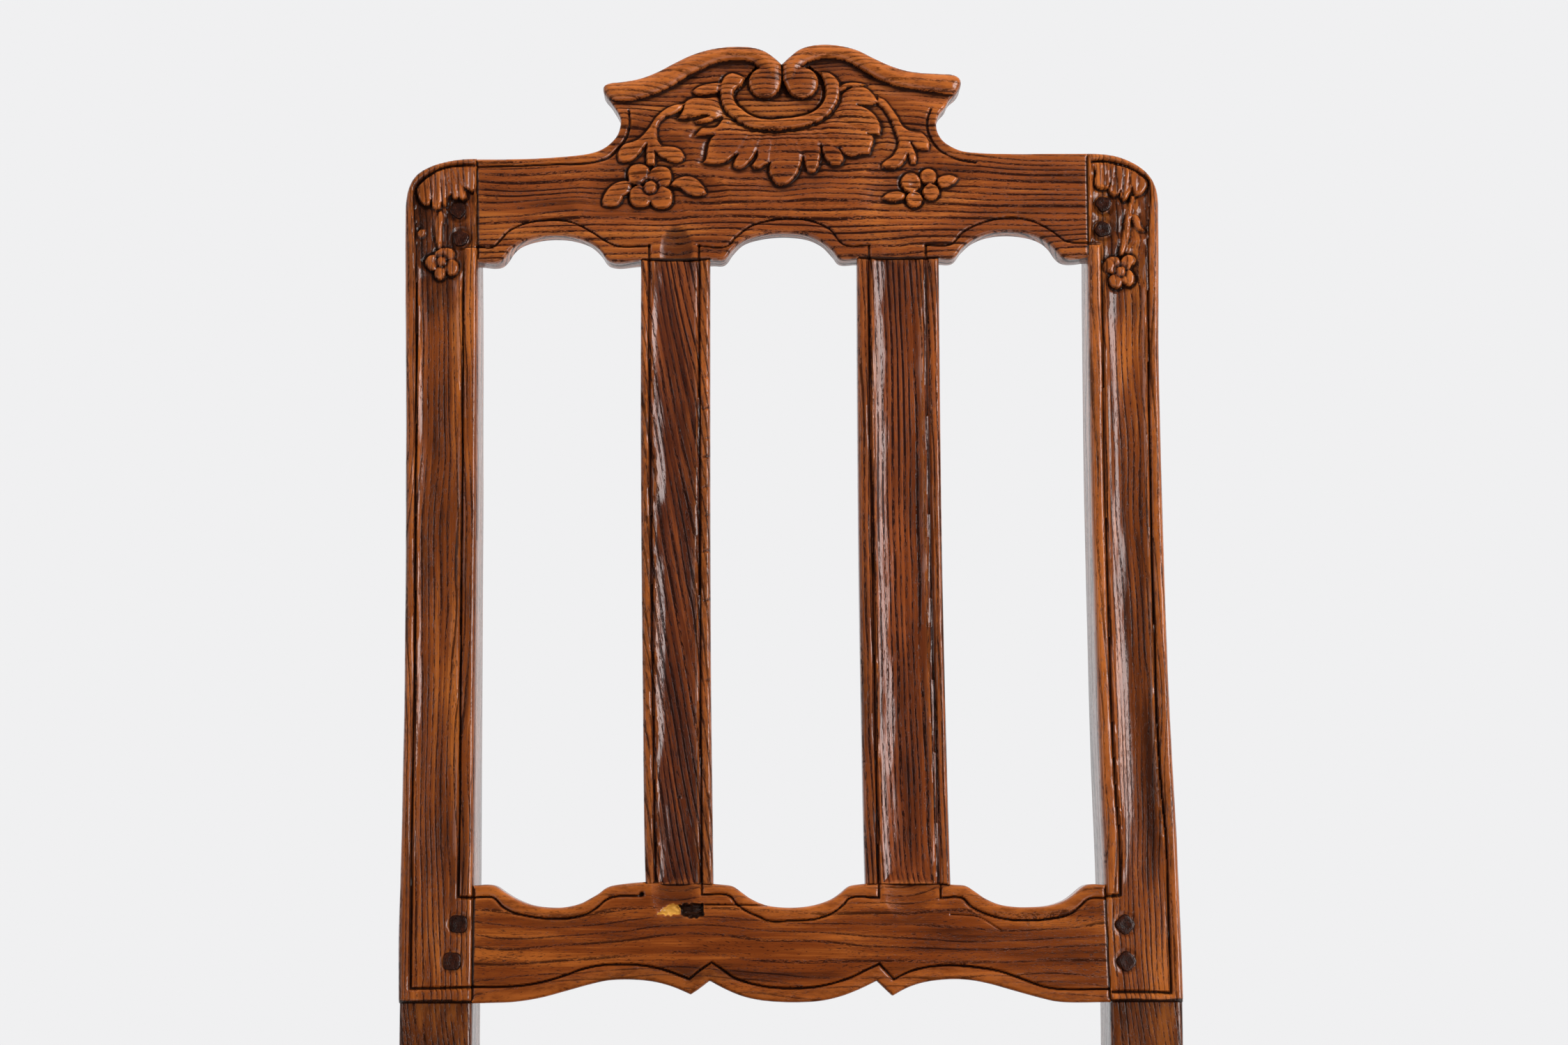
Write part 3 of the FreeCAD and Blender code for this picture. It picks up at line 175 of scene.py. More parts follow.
RIGHT_NECK_LINE = [(84.8, 528.2), (82.8, 522.1), (83, 515.9), (85.6, 509.3), (90, 503.6), (95.5, 499.9),
    (103.5, 497), (111.3, 495.6)]
ARCH_LINE_LEFT = [(-185.9, 443.6), (-176.8, 443.4), (-173.1, 446.5), (-167, 453.3), (-155.5, 458.5),
    (-140.6, 460), (-129.8, 458.7), (-118.1, 453), (-109, 447), (-102.3, 444.2), (-83.7, 444.3)]
ARCH_LINE_MIDDLE = [(-54.3, 444.4), (-36.9, 444.4), (-32.4, 449.2), (-22.8, 456.5), (-10.4, 460.1),
    (2.9, 461), (13.3, 459.5), (23.6, 454.8), (32.3, 445.3), (47.6, 444.9)]
ARCH_LINE_RIGHT = [(81.2, 444.9), (96.6, 445.8), (103.3, 452.8), (110.8, 457.1), (121.3, 460.5),
    (133.7, 461.8), (146.2, 459.2), (156.5, 453.7), (165.5, 447.3), (178, 446.3)]
LEFT_POST_LINE = [(-188.3, 493.1), (-194.2, 493.1), (-200.1, 492.7), (-205.3, 491.8), (-210.3, 490),
    (-214.8, 487.2), (-219.1, 483.8), (-222.1, 480.3), (-223.5, 475.8), (-223.7, 470.6), (-223.1, 461.5),
    (-222.5, 452.4), (-222, 440.2), (-221.4, 417.6), (-220.8, 389.9), (-219.7, 298.3), (-218.5, 216.2),
    (-218.2, 155.4), (-218.5, 115.2), (-218.2, 75.4), (-218.1, 35.8), (-217.8, 8.4), (-197.2, 8.8),
    (-182.4, 9.1)]
LEFT_POST_INNER_LINE = [(-185.7, 443.6), (-194.2, 443.8), (-193.6, 390), (-192.6, 298.3), (-192.2, 216.2),
    (-191.5, 135.3), (-191.2, 60.2), (-183.6, 60)]
LEFT_FRINGE = [(-222.1, 480.1), (-221.7, 475.2), (-220.1, 471), (-217.1, 468.5), (-214.5, 469.2),
    (-213.6, 472), (-212.9, 467.6), (-210.4, 466.3), (-208.4, 467), (-207.4, 470.2), (-206.2, 468.7),
    (-204.6, 468.3), (-204.2, 471), (-203.4, 474.3), (-201.5, 475.9), (-200.9, 473.5), (-199.2, 472.7),
    (-197.6, 473.5), (-195, 471.9), (-192.6, 473.5), (-193, 476.3), (-194.1, 479.4), (-192.3, 478.7),
    (-189.5, 477.4), (-187.2, 479.6), (-186.5, 483.6), (-186.6, 493.1), (-194.2, 493.1), (-200.1, 492.7),
    (-205.3, 491.8), (-210.3, 490), (-214.8, 487.2), (-219.1, 483.8)]
LEFT_FRINGE_CUTS = [[(-213.7, 487), (-213.5, 471.4)], [(-211.7, 487.7), (-211.6, 469.1)], [(-207.7, 489.3),
    (-207.3, 469.1)], [(-205.6, 490), (-204.5, 478.2), (-204.2, 472.1)], [(-204.2, 490.8), (-202.8, 482),
    (-200.4, 474.4)], [(-201.7, 490.4), (-198.8, 482.8), (-197.6, 475.9), (-196.8, 472.9)],
    [(-198.7, 490.8), (-196.6, 483.6), (-194.7, 478.2), (-193.5, 473.7)], [(-195.6, 491.6), (-194.2, 485.1),
    (-193.1, 479.4)], [(-190.8, 491.6), (-190.9, 479)]]
LEFT_STEM = [(-208.2, 465.4), (-206.5, 463.8), (-205.7, 460), (-206.7, 456.2), (-206.8, 450.9),
    (-207, 444.8), (-207.4, 442.2), (-209.5, 442.4), (-210.6, 447.8), (-211.4, 455.4), (-210.8, 460),
    (-209.6, 463)]
LEFT_BUD = [(-221.8, 452.2), (-219.6, 454.5), (-217.2, 453.7), (-217.3, 450.5), (-219.2, 448.9),
    (-221.2, 449.9)]
LEFT_POST_FLOWER = [(-209.1, 441.6), (-204.7, 443), (-200.7, 442.4), (-199.3, 439.9), (-199.5, 435.9),
    (-197.6, 433.5), (-197.1, 429.7), (-198.9, 426.7), (-201.9, 426.1), (-204.3, 428), (-204.8, 425.8),
    (-206.4, 423.8), (-208.8, 423.5), (-210.6, 425.3), (-211.1, 428.9), (-214, 429.8), (-216.3, 432.5),
    (-216.4, 435.6), (-214.5, 438), (-211.2, 438.9), (-210.7, 440.3)]
LEFT_POST_BUTTON = (-207.1, 434.6)
RIGHT_POST_LINE = [(181.6, 496), (186.8, 496.3), (192, 495.7), (197.2, 494.3), (201.6, 493.1),
    (206.8, 490.4), (211.2, 487.3), (214.3, 484.3), (215.1, 479.7), (215.2, 472.1), (214.6, 464.4),
    (213.8, 452.3), (213.4, 441.6), (213, 418.9), (212.6, 398.7), (212, 339.9), (211.9, 277.6),
    (212.3, 216), (213.1, 155.1), (215.1, 114.8), (216.7, 94.8), (217.2, 62.9), (217.7, 28.8), (218, 5.3),
    (201.6, 5.9), (184.4, 5.9)]
RIGHT_POST_INNER_LINE = [(178.5, 446), (186, 445.8), (186.1, 434), (186.2, 418.9), (186, 398.7),
    (185.6, 339.9), (185.7, 277.6), (186.3, 216), (187.2, 155.1), (188.9, 114.8), (190.1, 94.8),
    (189.9, 60.9), (182.6, 60.3)]
RIGHT_FRINGE = [(181.9, 495.9), (182.6, 491.9), (183.4, 488.8), (182.6, 485), (182.8, 481.9), (184.6, 480),
    (188, 479.2), (190.6, 479.8), (191.9, 482.6), (190.9, 478.9), (192, 476.1), (193.8, 474.9),
    (196.5, 475.8), (198.1, 478.3), (197.5, 475.1), (199.4, 472), (201.2, 473), (203.5, 476.5),
    (204.9, 480.4), (205.8, 477.4), (207, 475.4), (209.6, 475.9), (212.3, 478.2), (213.8, 481.2),
    (213.5, 484.3), (211.2, 487.3), (206.8, 490.4), (201.6, 493.1), (197.2, 494.3), (192, 495.7),
    (186.8, 496.3)]
RIGHT_FRINGE_CUTS = [[(187.5, 495.3), (187, 481.9)], [(189.9, 494.9), (188.9, 481.2)], [(195.7, 494.2),
    (194.4, 487.3), (193, 478.1)], [(201.2, 492.7), (200.1, 485), (198.7, 474.3)], [(204.6, 491.1),
    (203.3, 485), (202.1, 478.1)], [(209.4, 488.1), (208.7, 483.5), (208.4, 478.2)], [(192.4, 495.3),
    (191.7, 487.3), (191.4, 481.9)]]
RIGHT_STEM = [(204.1, 475.1), (206.2, 475.1), (205.3, 469), (204.2, 462.5), (203.3, 456.8), (202.3, 449.2),
    (200.9, 444.6), (198.8, 438.6), (196.1, 439), (197.4, 444.6), (198.6, 450.7), (199.6, 458.3),
    (201.8, 465.2), (203.1, 470.5)]
RIGHT_POST_LEAF = [(203.9, 464), (207, 463.3), (209.2, 460.6), (209.9, 456.8), (211.9, 453.9),
    (209.9, 453.6), (207, 455.1), (205.4, 458.2), (204, 461.8)]
RIGHT_POST_FLOWER = [(195, 437.8), (190.9, 437.7), (187.8, 435.1), (186.9, 431.7), (188, 429.5),
    (190.8, 428.1), (192.1, 427.2), (190.1, 424.9), (190.5, 421), (193.7, 418.7), (196.9, 419.5),
    (198.2, 422.1), (199.9, 420.8), (202.6, 420.3), (204.9, 422.3), (205.3, 426.3), (204.1, 428.7),
    (202.8, 430.2), (203.7, 432.5), (205.6, 434), (206, 436.7), (204.3, 438.6), (201.3, 439),
    (198.7, 437.8), (197.2, 435.5), (196.1, 437.1)]
RIGHT_POST_BUTTON = (197.1, 429.1)
RAIL_TOP_A = [(-182.5, 59.9), (-171.5, 59.9), (-169.4, 58.5), (-165.9, 54.8), (-159.6, 51.4),
    (-151.4, 49.4), (-141.7, 48), (-133.5, 47.7), (-125.2, 48.4), (-117, 50.7), (-111.5, 54.1),
    (-106.7, 58.2), (-101.9, 60.2), (-86.5, 60.6)]
RAIL_TOP_B = [(-51.3, 67), (-51.3, 61.4), (-35.1, 60.5), (-31.6, 56.3), (-26.1, 52.2), (-17.8, 48.5),
    (-13.9, 46.6), (1.9, 46.6), (14.5, 47.5), (24.1, 50.9), (30.4, 55.6), (33.6, 59.1), (50.7, 59.4),
    (51.1, 67.8)]
RAIL_TOP_C = [(86.3, 67.8), (86.2, 59.3), (98.6, 59.3), (103.3, 54.7), (112.8, 50), (123.8, 47.2),
    (136.5, 46.4), (150.8, 47.6), (160.4, 49.9), (166.8, 54.6), (171.6, 58.6), (181.9, 59.2)]
RAIL_BOTTOM = [(-182.4, 9.4), (-167.3, 9.3), (-152.3, 10.4), (-140, 12.7), (-129, 16), (-119.5, 19.4),
    (-109.9, 21.4), (-98.9, 22.1), (-87.9, 21.7), (-78.3, 20.3), (-70, 18), (-62.5, 15.2), (-58.3, 13.6),
    (-52.2, 18.6), (-45.6, 23.1), (-39.8, 19.3), (-32.9, 14.5), (-24.7, 11.5), (-17.8, 9.9), (-14, 9.2),
    (-2.9, 8.4), (11.3, 8.8), (23.9, 11.1), (35, 14.7), (43.7, 18.9), (50.8, 22), (59, 13.4), (68.1, 17.7),
    (79.2, 20.4), (93.5, 21.1), (107.7, 19.9), (120.3, 17.7), (132.9, 13.3), (145.5, 8.9), (154.9, 7.6),
    (182.6, 7.6)]
CHIP_LEFT = [(-76.4, 50.6), (-72.9, 54), (-68.8, 56.2), (-65.4, 55.9), (-63.3, 53.3), (-64, 50.6),
    (-69.5, 49.9)]
CHIP_RIGHT = [(-64.7, 55.4), (-59.2, 56.2), (-50.9, 56.2), (-50.1, 49.9), (-55, 48.3), (-62.6, 49.9)]
CRACK = [(-50.9, 55.9), (-37.1, 55.7), (-14, 55.2)]
PEGS = {
    "crest_rail_pegs": [(-197.4, 465.6), (-195.7, 448.6), (187.5, 470.2), (186.8, 454.6)],
    "lower_back_rail_pegs": [(-190.8, 45), (-194.2, 23.9), (192.4, 44.2), (192.8, 23.3)],
}

# Drawing on a grid
SMOOTH_STEP = 1.0
CORNER = math.radians(52)
LEAST = 1e-9          # what is smaller counts as no length
LINE_REACH = 8.0      # the distance from a line is worked out up to here
SQUARENESS = 2.5      # the power that makes a petal nearly square


def unit(vector):
    """The vector made 1 long, or nothing where it has no length."""
    return vector / max(np.hypot(*vector), LEAST)


def heading(before, after, own):
    """The direction of a path at a point: shared by both sides, or a side's own where it is a corner."""
    a, b = unit(before), unit(after)
    return unit(own) if np.dot(a, b) < math.cos(CORNER) else unit(a + b)


def smooth(points, closed=True):
    """A path through the points that is rounded between them but keeps their sharp corners."""
    points = np.asarray(points, float)
    count = len(points)
    ahead = np.roll(points, -1, axis=0) - points
    behind = points - np.roll(points, 1, axis=0)
    if not closed:
        ahead[-1] = behind[-1]
        behind[0] = ahead[0]
    out = []
    for i in range(count if closed else count - 1):
        j = (i + 1) % count
        length = np.hypot(*ahead[i])
        leave = heading(behind[i], ahead[i], ahead[i]) * length
        arrive = heading(behind[j], ahead[j], behind[j]) * length
        t = np.arange(0, 1, SMOOTH_STEP / max(length, SMOOTH_STEP))[:, None]
        out.append(
            (2 * t**3 - 3 * t**2 + 1) * points[i] + (t**3 - 2 * t**2 + t) * leave
            + (3 * t**2 - 2 * t**3) * points[j] + (t**3 - t**2) * arrive
        )
    if not closed:
        out.append(points[-1:])
    return np.concatenate(out)


def between_lines(first, second):
    """The closed outline between two open lines that run the same way."""
    return np.concatenate([smooth(first, False), smooth(second, False)[::-1]])


def soft_step(share):
    """From 0 to 1 with a soft start and end, for a share from 0 to 1."""
    return share * share * (3 - 2 * share)


def ease(x, low, high):
    """0 at low and 1 at high, with a soft start and end."""
    return soft_step(np.clip((x - low) / (high - low), 0, 1))


def hump(distance, width):
    """1 where the distance is 0, and nearly nothing from two widths on."""
    return np.exp(-((distance / width) ** 2))


def edge_fall(distance, width):
    """How far a rounded edge has fallen: 1 at the edge, and 0 from a width inside it."""
    share = np.clip(distance / width, 0, 1)
    return 1 - np.sqrt(1 - (1 - share) ** 2)


def blur(field, radius):
    """The field averaged over a soft round patch, with its radius in cells."""
    reach = 2 * radius
    offsets = np.arange(-reach, reach + 1)
    weights = np.exp(-((offsets / radius) ** 2) * 1.5)
    weights /= weights.sum()
    for axis, margins in enumerate((((reach, reach), (0, 0)), ((0, 0), (reach, reach)))):
        padded = np.pad(field, margins, "edge")
        places = np.arange(field.shape[axis])
        field = sum(k * np.take(padded, places + i, axis=axis) for i, k in enumerate(weights))
    return field


class Sheet:
    """A regular grid over one piece of the back, on which its relief is drawn as a depth."""

    def __init__(self, first, second, step):
        self.step = step
        self.outline = np.concatenate([first, second])
        low = self.outline.min(0) - 3 * step
        high = self.outline.max(0) + 3 * step
        self.us = np.arange(low[0], high[0], step)
        self.ws = np.arange(low[1], high[1], step)
        self.u, self.w = np.meshgrid(self.us, self.ws, indexing="ij")

    def window(self, low, high):
        """The part of the grid between two corners."""
        a = np.searchsorted(self.us, [low[0], high[0]])
        b = np.searchsorted(self.ws, [low[1], high[1]])
        return slice(*a), slice(*b)

    def near(self, path, closed, reach):
        """How far each point is from a path, up to a reach, and the nearest point of the path."""
        path = np.asarray(path, float)
        ends = np.roll(path, -1, axis=0) if closed else path[1:]
        best = np.full(self.u.shape, float(reach))
        nearest = np.stack([self.u, self.w])
        for a, b in zip(path, ends):
            run = b - a
            length = run @ run
            if length < LEAST:
                continue
            part = self.window(np.minimum(a, b) - reach, np.maximum(a, b) + reach)
            u, w = self.u[part], self.w[part]
            t = np.clip(((u - a[0]) * run[0] + (w - a[1]) * run[1]) / length, 0, 1)
            place = np.stack([a[0] + t * run[0], a[1] + t * run[1]])
            distance = np.hypot(u - place[0], w - place[1])
            closer = distance < best[part]
            best[part] = np.where(closer, distance, best[part])
            for axis in (0, 1):
                nearest[axis][part] = np.where(closer, place[axis], nearest[axis][part])
        return best, nearest

    def edge(self, reach):
        """How far each point is from the outline of the piece, up to a reach."""
        return self.near(self.outline, True, reach)[0]

    def line(self, path):
        """How far each point is from an open path, up to LINE_REACH."""
        return self.near(path, False, LINE_REACH)[0]

    def curve(self, path):
        """How far each point is from a smoothed open path, up to LINE_REACH."""
        return self.line(smooth(path, False))

    def away(self, place, across=1.0, up=1.0):
        """How far each point is from a place, counted in a size across and a size up."""
        return np.hypot((self.u - place[0]) / across, (self.w - place[1]) / up)

    def within(self, path):
        """True for the points inside a closed path."""
        path = np.asarray(path, float)
        hit = np.zeros(self.u.shape, bool)
        for a, b in zip(path, np.roll(path, -1, axis=0)):
            rows = np.nonzero((a[1] > self.ws) != (b[1] > self.ws))[0]
            if len(rows):
                crossing = a[0] + (self.ws[rows] - a[1]) / (b[1] - a[1]) * (b[0] - a[0])
                hit[:, rows] ^= self.us[:, None] < crossing[None, :]
        return hit

    def inset(self, path, reach):
        """How far inside a closed path each point is, and below 0 outside it."""
        distance, _ = self.near(path, True, reach)
        return np.where(self.within(path), distance, -distance)

    def shape(self, points, reach):
        """How far inside a closed shape each point is, with the shape smoothed."""
        return self.inset(smooth(points), reach)

    def disc(self, centre, radius):
        """How far inside a circle each point is."""
        return radius - self.away(centre)

    def soft_square(self, centre, radius):
        """How far inside a rounded square each point is."""
        across, up = np.abs(self.u - centre[0]), np.abs(self.w - centre[1])
        return radius - (across**SQUARENESS + up**SQUARENESS) ** (1 / SQUARENESS)

    def lumps(self, across, up, seed):
        """Smooth random unevenness between -1 and 1, with lumps so many millimetres across and up."""
        rng = np.random.default_rng(seed)
        sides = [(n, size / self.step) for n, size in zip(self.u.shape, (across, up))]
        field = rng.uniform(-1, 1, [max(4, int(n / cells) + 4) for n, cells in sides])
        for axis, (n, cells) in enumerate(sides):
            places = np.arange(n) / cells + 1
            low = np.minimum(np.floor(places).astype(int), field.shape[axis] - 2)
            share = soft_step(places - low).reshape([-1, 1] if axis == 0 else [1, -1])
            field = np.take(field, low, axis) * (1 - share) + np.take(field, low + 1, axis) * share
        return field

    def uneven(self, seed, amount, long_way="across"):
        """The slight waviness that hand tools leave."""
        sizes = ((26, 7), (9, 3)) if long_way == "across" else ((7, 26), (3, 9))
        broad, fine = (self.lumps(*size, seed + k) for k, size in enumerate(sizes))
        return amount * broad + 0.45 * amount * fine


def leaned(points):
    """Points of the drawing of the back, across, in depth and up, in metres in their place in the chair."""
    u, v, w = np.asarray(points, float).T
    back = BACK_PLACE + v * math.cos(RAKE) + w * math.sin(RAKE)
    up = BACK_BASE + w * math.cos(RAKE) - v * math.sin(RAKE)
    return np.stack([u, back, up], axis=1) * MM


# Making the pieces
SHADE_ANGLE = math.radians(38)
SNAP = 0.5               # points within this share of a step from the outline are moved onto it
SMALLEST_QUAD, SMALLEST_CORNER = -0.2, -0.75     # how far a face's middle may lie outside, in steps
EDGE_ROWS = 4
BACK_TURNS = (30, 60, 90)
NORMAL_PASSES = 4
JOINT_MARGIN = 1.2       # an edge this much nearer than the rounded ones lies at a joint
SEAM_DEPTH, SEAM_WIDTH = 0.8, 0.8
SEAM_DIRT, SEAM_DIRT_WIDTH = 1.2, 1.1
JOINT_DROP, OPEN_DROP = 0.6, 2.5     # what lies past the outline counts as this much deeper
ROUGHNESS = 0.08         # unevenness up to here gathers no dirt or painted shade
AROUND = ((1, 1.3), (2, 3.2), (3, 9))    # what is round a point: least cells, and millimetres
HOLLOW_SHARES = (1.5, 0.45, 0.3)         # how much each of the three counts for dirt and painted shade
RIDGE_SHARES = (1.1, 0.35, 0.45)         # and for wear
WIDE_FLOOR, WIDE_LIMIT = 0.05, 1.2       # the widest counts only between these


def store(mesh, label, values):
    """Keep a number or a vector for each point of the mesh."""
    kind, item = ("FLOAT_VECTOR", "vector") if values.ndim == 2 else ("FLOAT", "value")
    attribute = mesh.attributes.new(label, kind, "POINT")
    attribute.data.foreach_set(item, values.astype(np.float32).ravel())


def shown(name, mesh, fields, material, node, angle=SHADE_ANGLE):
    """The mesh as a piece of the chair in place of its solid, with its grain, dirt, wear and stain, which
    also carry painted shade and a painted highlight.
    """
    piece = bpy.data.objects.new(name, mesh)
    bpy.context.scene.collection.objects.link(piece)
    store(mesh, "wood", fields["wood"])
    for label in ("cavity", "rub", "stain"):
        store(mesh, label, np.zeros(len(mesh.vertices)) + fields.get(label, 0.0))
    mesh.shade_smooth()
    mesh.set_sharp_from_angle(angle=angle)
    mesh.materials.clear()
    mesh.materials.append(material)
    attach(piece, "root")
    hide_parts(node)
    return piece


def show_form(name, form, material, node):
    """A form, which is its points in metres, its faces and its fields, as a piece of the chair."""
    mesh = bpy.data.meshes.new(name)
    mesh.from_pydata(form["points"].tolist(), [], form["faces"])
    mesh.update()
    shown(name, mesh, form, material, node)


def joined(first, second):
    """Two closed forms as one piece of wood."""
    whole = {label: np.concatenate([first[label], second[label]]) for label in first if label != "faces"}
    offset = len(first["points"])
    whole["faces"] = first["faces"] + [[i + offset for i in face] for face in second["faces"]]
    return whole


def front_faces(sheet, kept, depth_inside):
    """The quads and triangles of the grid that lie within the outline."""
    number = np.arange(kept.size).reshape(kept.shape)
    start, end = slice(0, -1), slice(1, None)
    corners = [(start, start), (end, start), (end, end), (start, end)]
    kept = np.stack([kept[c] for c in corners])
    numbers = np.stack([number[c] for c in corners])
    middle = np.mean([depth_inside[c] for c in corners], axis=0)
    total = kept.sum(0)
    faces = numbers[:, (total == 4) & (middle > SMALLEST_QUAD * sheet.step)].T.tolist()
    for missing in range(4):
        rest = [k for k in range(4) if k != missing]
        part = (total == 3) & ~kept[missing] & (middle > SMALLEST_CORNER * sheet.step)
        faces += numbers[rest][:, part].T.tolist()
    return faces


def hollows_and_ridges(surface, step):
    """How much dirt and painted shade a surface's hollows get, and how much it is rubbed, from how it lies
    to what is round it.
    """
    fine, broad, wide = (surface - blur(surface, max(least, int(size / step))) for least, size in AROUND)
    below = (np.maximum(fine - ROUGHNESS, 0), np.maximum(broad - ROUGHNESS, 0),
             np.clip(wide - WIDE_FLOOR, 0, WIDE_LIMIT))
    above = (np.maximum(-fine, 0), np.maximum(-broad, 0), np.clip(-wide, 0, WIDE_LIMIT))
    hollows = sum(share * part for share, part in zip(HOLLOW_SHARES, below))
    ridges = sum(share * part for share, part in zip(RIDGE_SHARES, above))
    return np.clip(hollows, 0, 1), ridges


def carved(sheet, depth, rounded, edge_round, back, back_round, grain, worn, stain=0.0, back_bevel=None):
    """The form of a piece of the back: its carved front, its rounded edges and its plain back."""
    step = sheet.step
    distance, nearest = sheet.near(sheet.outline, True, LINE_REACH)
    inside = sheet.within(sheet.outline)
    signed = np.where(inside, distance, -distance)
    on_edge = distance < SNAP * step
    u, w = (np.where(on_edge, snapped, own) for snapped, own in zip(nearest, (sheet.u, sheet.w)))
    room = np.min([sheet.line(path) for path in rounded], axis=0)
    room = np.where(on_edge & (room < step), 0, room)

    # a joint has a narrow dark seam, and an open edge is rounded
    at_joint = (room > distance + JOINT_MARGIN).astype(float)
    depth = depth + SEAM_DEPTH * at_joint * hump(distance, SEAM_WIDTH)
    v = depth + edge_round * edge_fall(room, edge_round)
    beyond = np.where(at_joint > 0, JOINT_DROP, OPEN_DROP)
    # the hollows darken, as dirt and as painted shade in creases and beside raised carving
    cavity, ridges = hollows_and_ridges(np.where(signed > -step, depth, depth + beyond), step)
    cavity = np.maximum(cavity, SEAM_DIRT * at_joint * hump(distance, SEAM_DIRT_WIDTH))
    # the rub field is wear, and on the crest's rolls also a painted highlight
    rub = np.clip(worn + ridges - 0.05, 0, 1)

    faces = front_faces(sheet, inside | on_edge, signed)
    used = sorted({i for face in faces for i in face})
    renumber = {old: new for new, old in enumerate(used)}
    faces = [[renumber[i] for i in face] for face in faces]
    points = np.stack([a.ravel()[used] for a in (u, v, w)], axis=1)
    points, faces = closed(points, faces, back, back_round, back_bevel)
    form = {"points": leaned(points), "faces": faces, "wood": grain(points)}
    behind = np.zeros(len(points) - len(used))
    for label, field in (("cavity", cavity), ("rub", rub), ("stain", stain + np.zeros(depth.shape))):
        form[label] = np.concatenate([field.ravel()[used], behind])
    return form


def closed(points, faces, back, back_round, back_bevel):
    """A carved front with its walls, its rounded or slanted rear arrises and its plain back."""
    pairs = {pair for face in faces for pair in zip(face, face[1:] + face[:1])}
    edges = sorted((a, b) for a, b in pairs if (b, a) not in pairs)
    outward = {}
    for a, b in edges:
        run = points[b] - points[a]
        normal = unit(np.array([run[2], -run[0]]))
        for i in (a, b):
            outward[i] = outward.get(i, 0) + normal
    ring = sorted(outward)
    place = {i: k for k, i in enumerate(ring)}
    ahead, behind = np.arange(len(ring)), np.arange(len(ring))
    for a, b in edges:
        ahead[place[a]], behind[place[b]] = place[b], place[a]
    normals = np.array([outward[i] for i in ring])
    for _ in range(NORMAL_PASSES):
        normals = normals + normals[ahead] + normals[behind]
        normals /= np.maximum(np.hypot(*normals.T), LEAST)[:, None]

    start = points[ring]
    rear = back(start[:, 2])
    bevel = back_bevel(start[:, 0], start[:, 2]) if back_bevel else np.zeros(len(ring))
    size = np.maximum(back_round, bevel)
    slanted = bevel > back_round
    rows = []
    for share in np.arange(1, EDGE_ROWS + 1) / EDGE_ROWS:
        row = start.copy()
        row[:, 1] = start[:, 1] + (rear - size - start[:, 1]) * share
        rows.append(row)
    for angle in BACK_TURNS:
        turn = math.radians(angle)
        row = start.copy()
        row[:, 1] = rear - size + size * np.where(slanted, angle / 90, math.sin(turn))
        inward = np.where(slanted, angle / 90, 1 - math.cos(turn)) * size
        row[:, [0, 2]] -= normals * inward[:, None]
        rows.append(row)

    count = len(ring)
    levels = [ring] + [[len(points) + r * count + k for k in range(count)] for r in range(len(rows))]
    for above, below in zip(levels, levels[1:]):
        for a, b in edges:
            ka, kb = place[a], place[b]
            faces.append([above[kb], above[ka], below[ka], below[kb]])
    points = np.concatenate([points, *rows])
    last = levels[-1]
    return points, faces + back_cap(points, [(last[place[a]], last[place[b]]) for a, b in edges])


def back_cap(points, edges):
    """Triangles that close the back, seen from behind."""
    mesh = bmesh.new()
    made = {}
    for a, b in edges:
        for i in (a, b):
            if i not in made:
                made[i] = mesh.verts.new((points[i][0], 0, points[i][2]))
    numbers = {vert: i for i, vert in made.items()}
    links = [mesh.edges.new((made[a], made[b])) for a, b in edges]
    filled = bmesh.ops.triangle_fill(mesh, edges=links, use_beauty=True, normal=(0, 1, 0))
    caps = []
    for face in filled["geom"]:
        if isinstance(face, bmesh.types.BMFace):
            face.normal_update()
            order = [numbers[vert] for vert in face.verts]
            caps.append(order if face.normal.y > 0 else order[::-1])
    mesh.free()
    return caps


def along_across(shift=0.0):
    """Grain that runs across the chair."""
    return lambda points: points[:, [0, 2, 1]] + (0, shift, 0)


def along_up(shift, lean=0.0):
    """Grain that runs up a post or a slat, or leans across it on its way down."""
    return lambda points: np.stack(
        [points[:, 2], points[:, 0] + lean * points[:, 2] + shift, points[:, 1]], axis=1
    )


# How the wood is cut: depths are measured from the front of the posts, in millimetres
FIELD = 1.5             # the flat face of the crest, the slats and the lower rail
STEP = 0.62
LINE_WIDTH = 1.15
LINE_DEPTH = 1.25
EDGE_REACH, POST_REACH, CREST_REACH, SLAT_REACH = 9.0, 14.0, 16.0, 18.0
CARVING = {   # depth of the top, fall to the edge, width of the rounded edge, and cut round the foot
    "leaf": (1.1, 0.9, 3.2, 0.25), "small leaf": (1.3, 0.8, 2.6, 0.5), "scroll": (0.3, 1.7, 4.0, 0.6),
    "button": (0.7, 0.9, 2.6, 0.8), "fringe": (0.6, 0.6, 1.8, 0.9), "stem": (1.2, 0.6, 1.6, 0.5),
    "post flower": (0.9, 0.8, 2.4, 0.8), "post button": (0.8, 0.9, 2.2, 0.6),
}


def groove(distance, width, depth):
    """A cut with a soft lip on both sides."""
    return depth * ease(distance, width, 0.25 * width) + 0.2 * depth * hump(distance, 2.4 * width)


def trench(ground, inset, depth, out, width):
    """The ground with a cut round the foot of a shape."""
    return ground + depth * hump(inset + out, width) * (inset < 0)


def laid(ground, surface, inset, low=-0.55, high=0.75):
    """The ground with another surface in its place inside a shape, over a steep step."""
    share = ease(inset, low, high)
    return ground * (1 - share) + surface * share


def raised(ground, inset, kind):
    """The ground with a shape left standing on it: steep sides, a rounded top and a cut round its foot."""
    top, fall, width, cut = CARVING[kind]
    return laid(trench(ground, inset, cut, 1.0, 0.9), top + fall * edge_fall(inset, width), inset)


def scoop_share(sheet, centre, across, up):
    """0 at a scoop's centre and 1 at its rim, which lies under the centre where up is below 0."""
    return np.hypot((sheet.u - centre[0]) / across, np.maximum((sheet.w - centre[1]) / up, 0))


def scoop(sheet, centre, across, up, depth):
    """A hollow that runs out of the wood at its centre's height."""
    return depth * np.clip(1 - scoop_share(sheet, centre, across, up) ** 2, 0, 1)


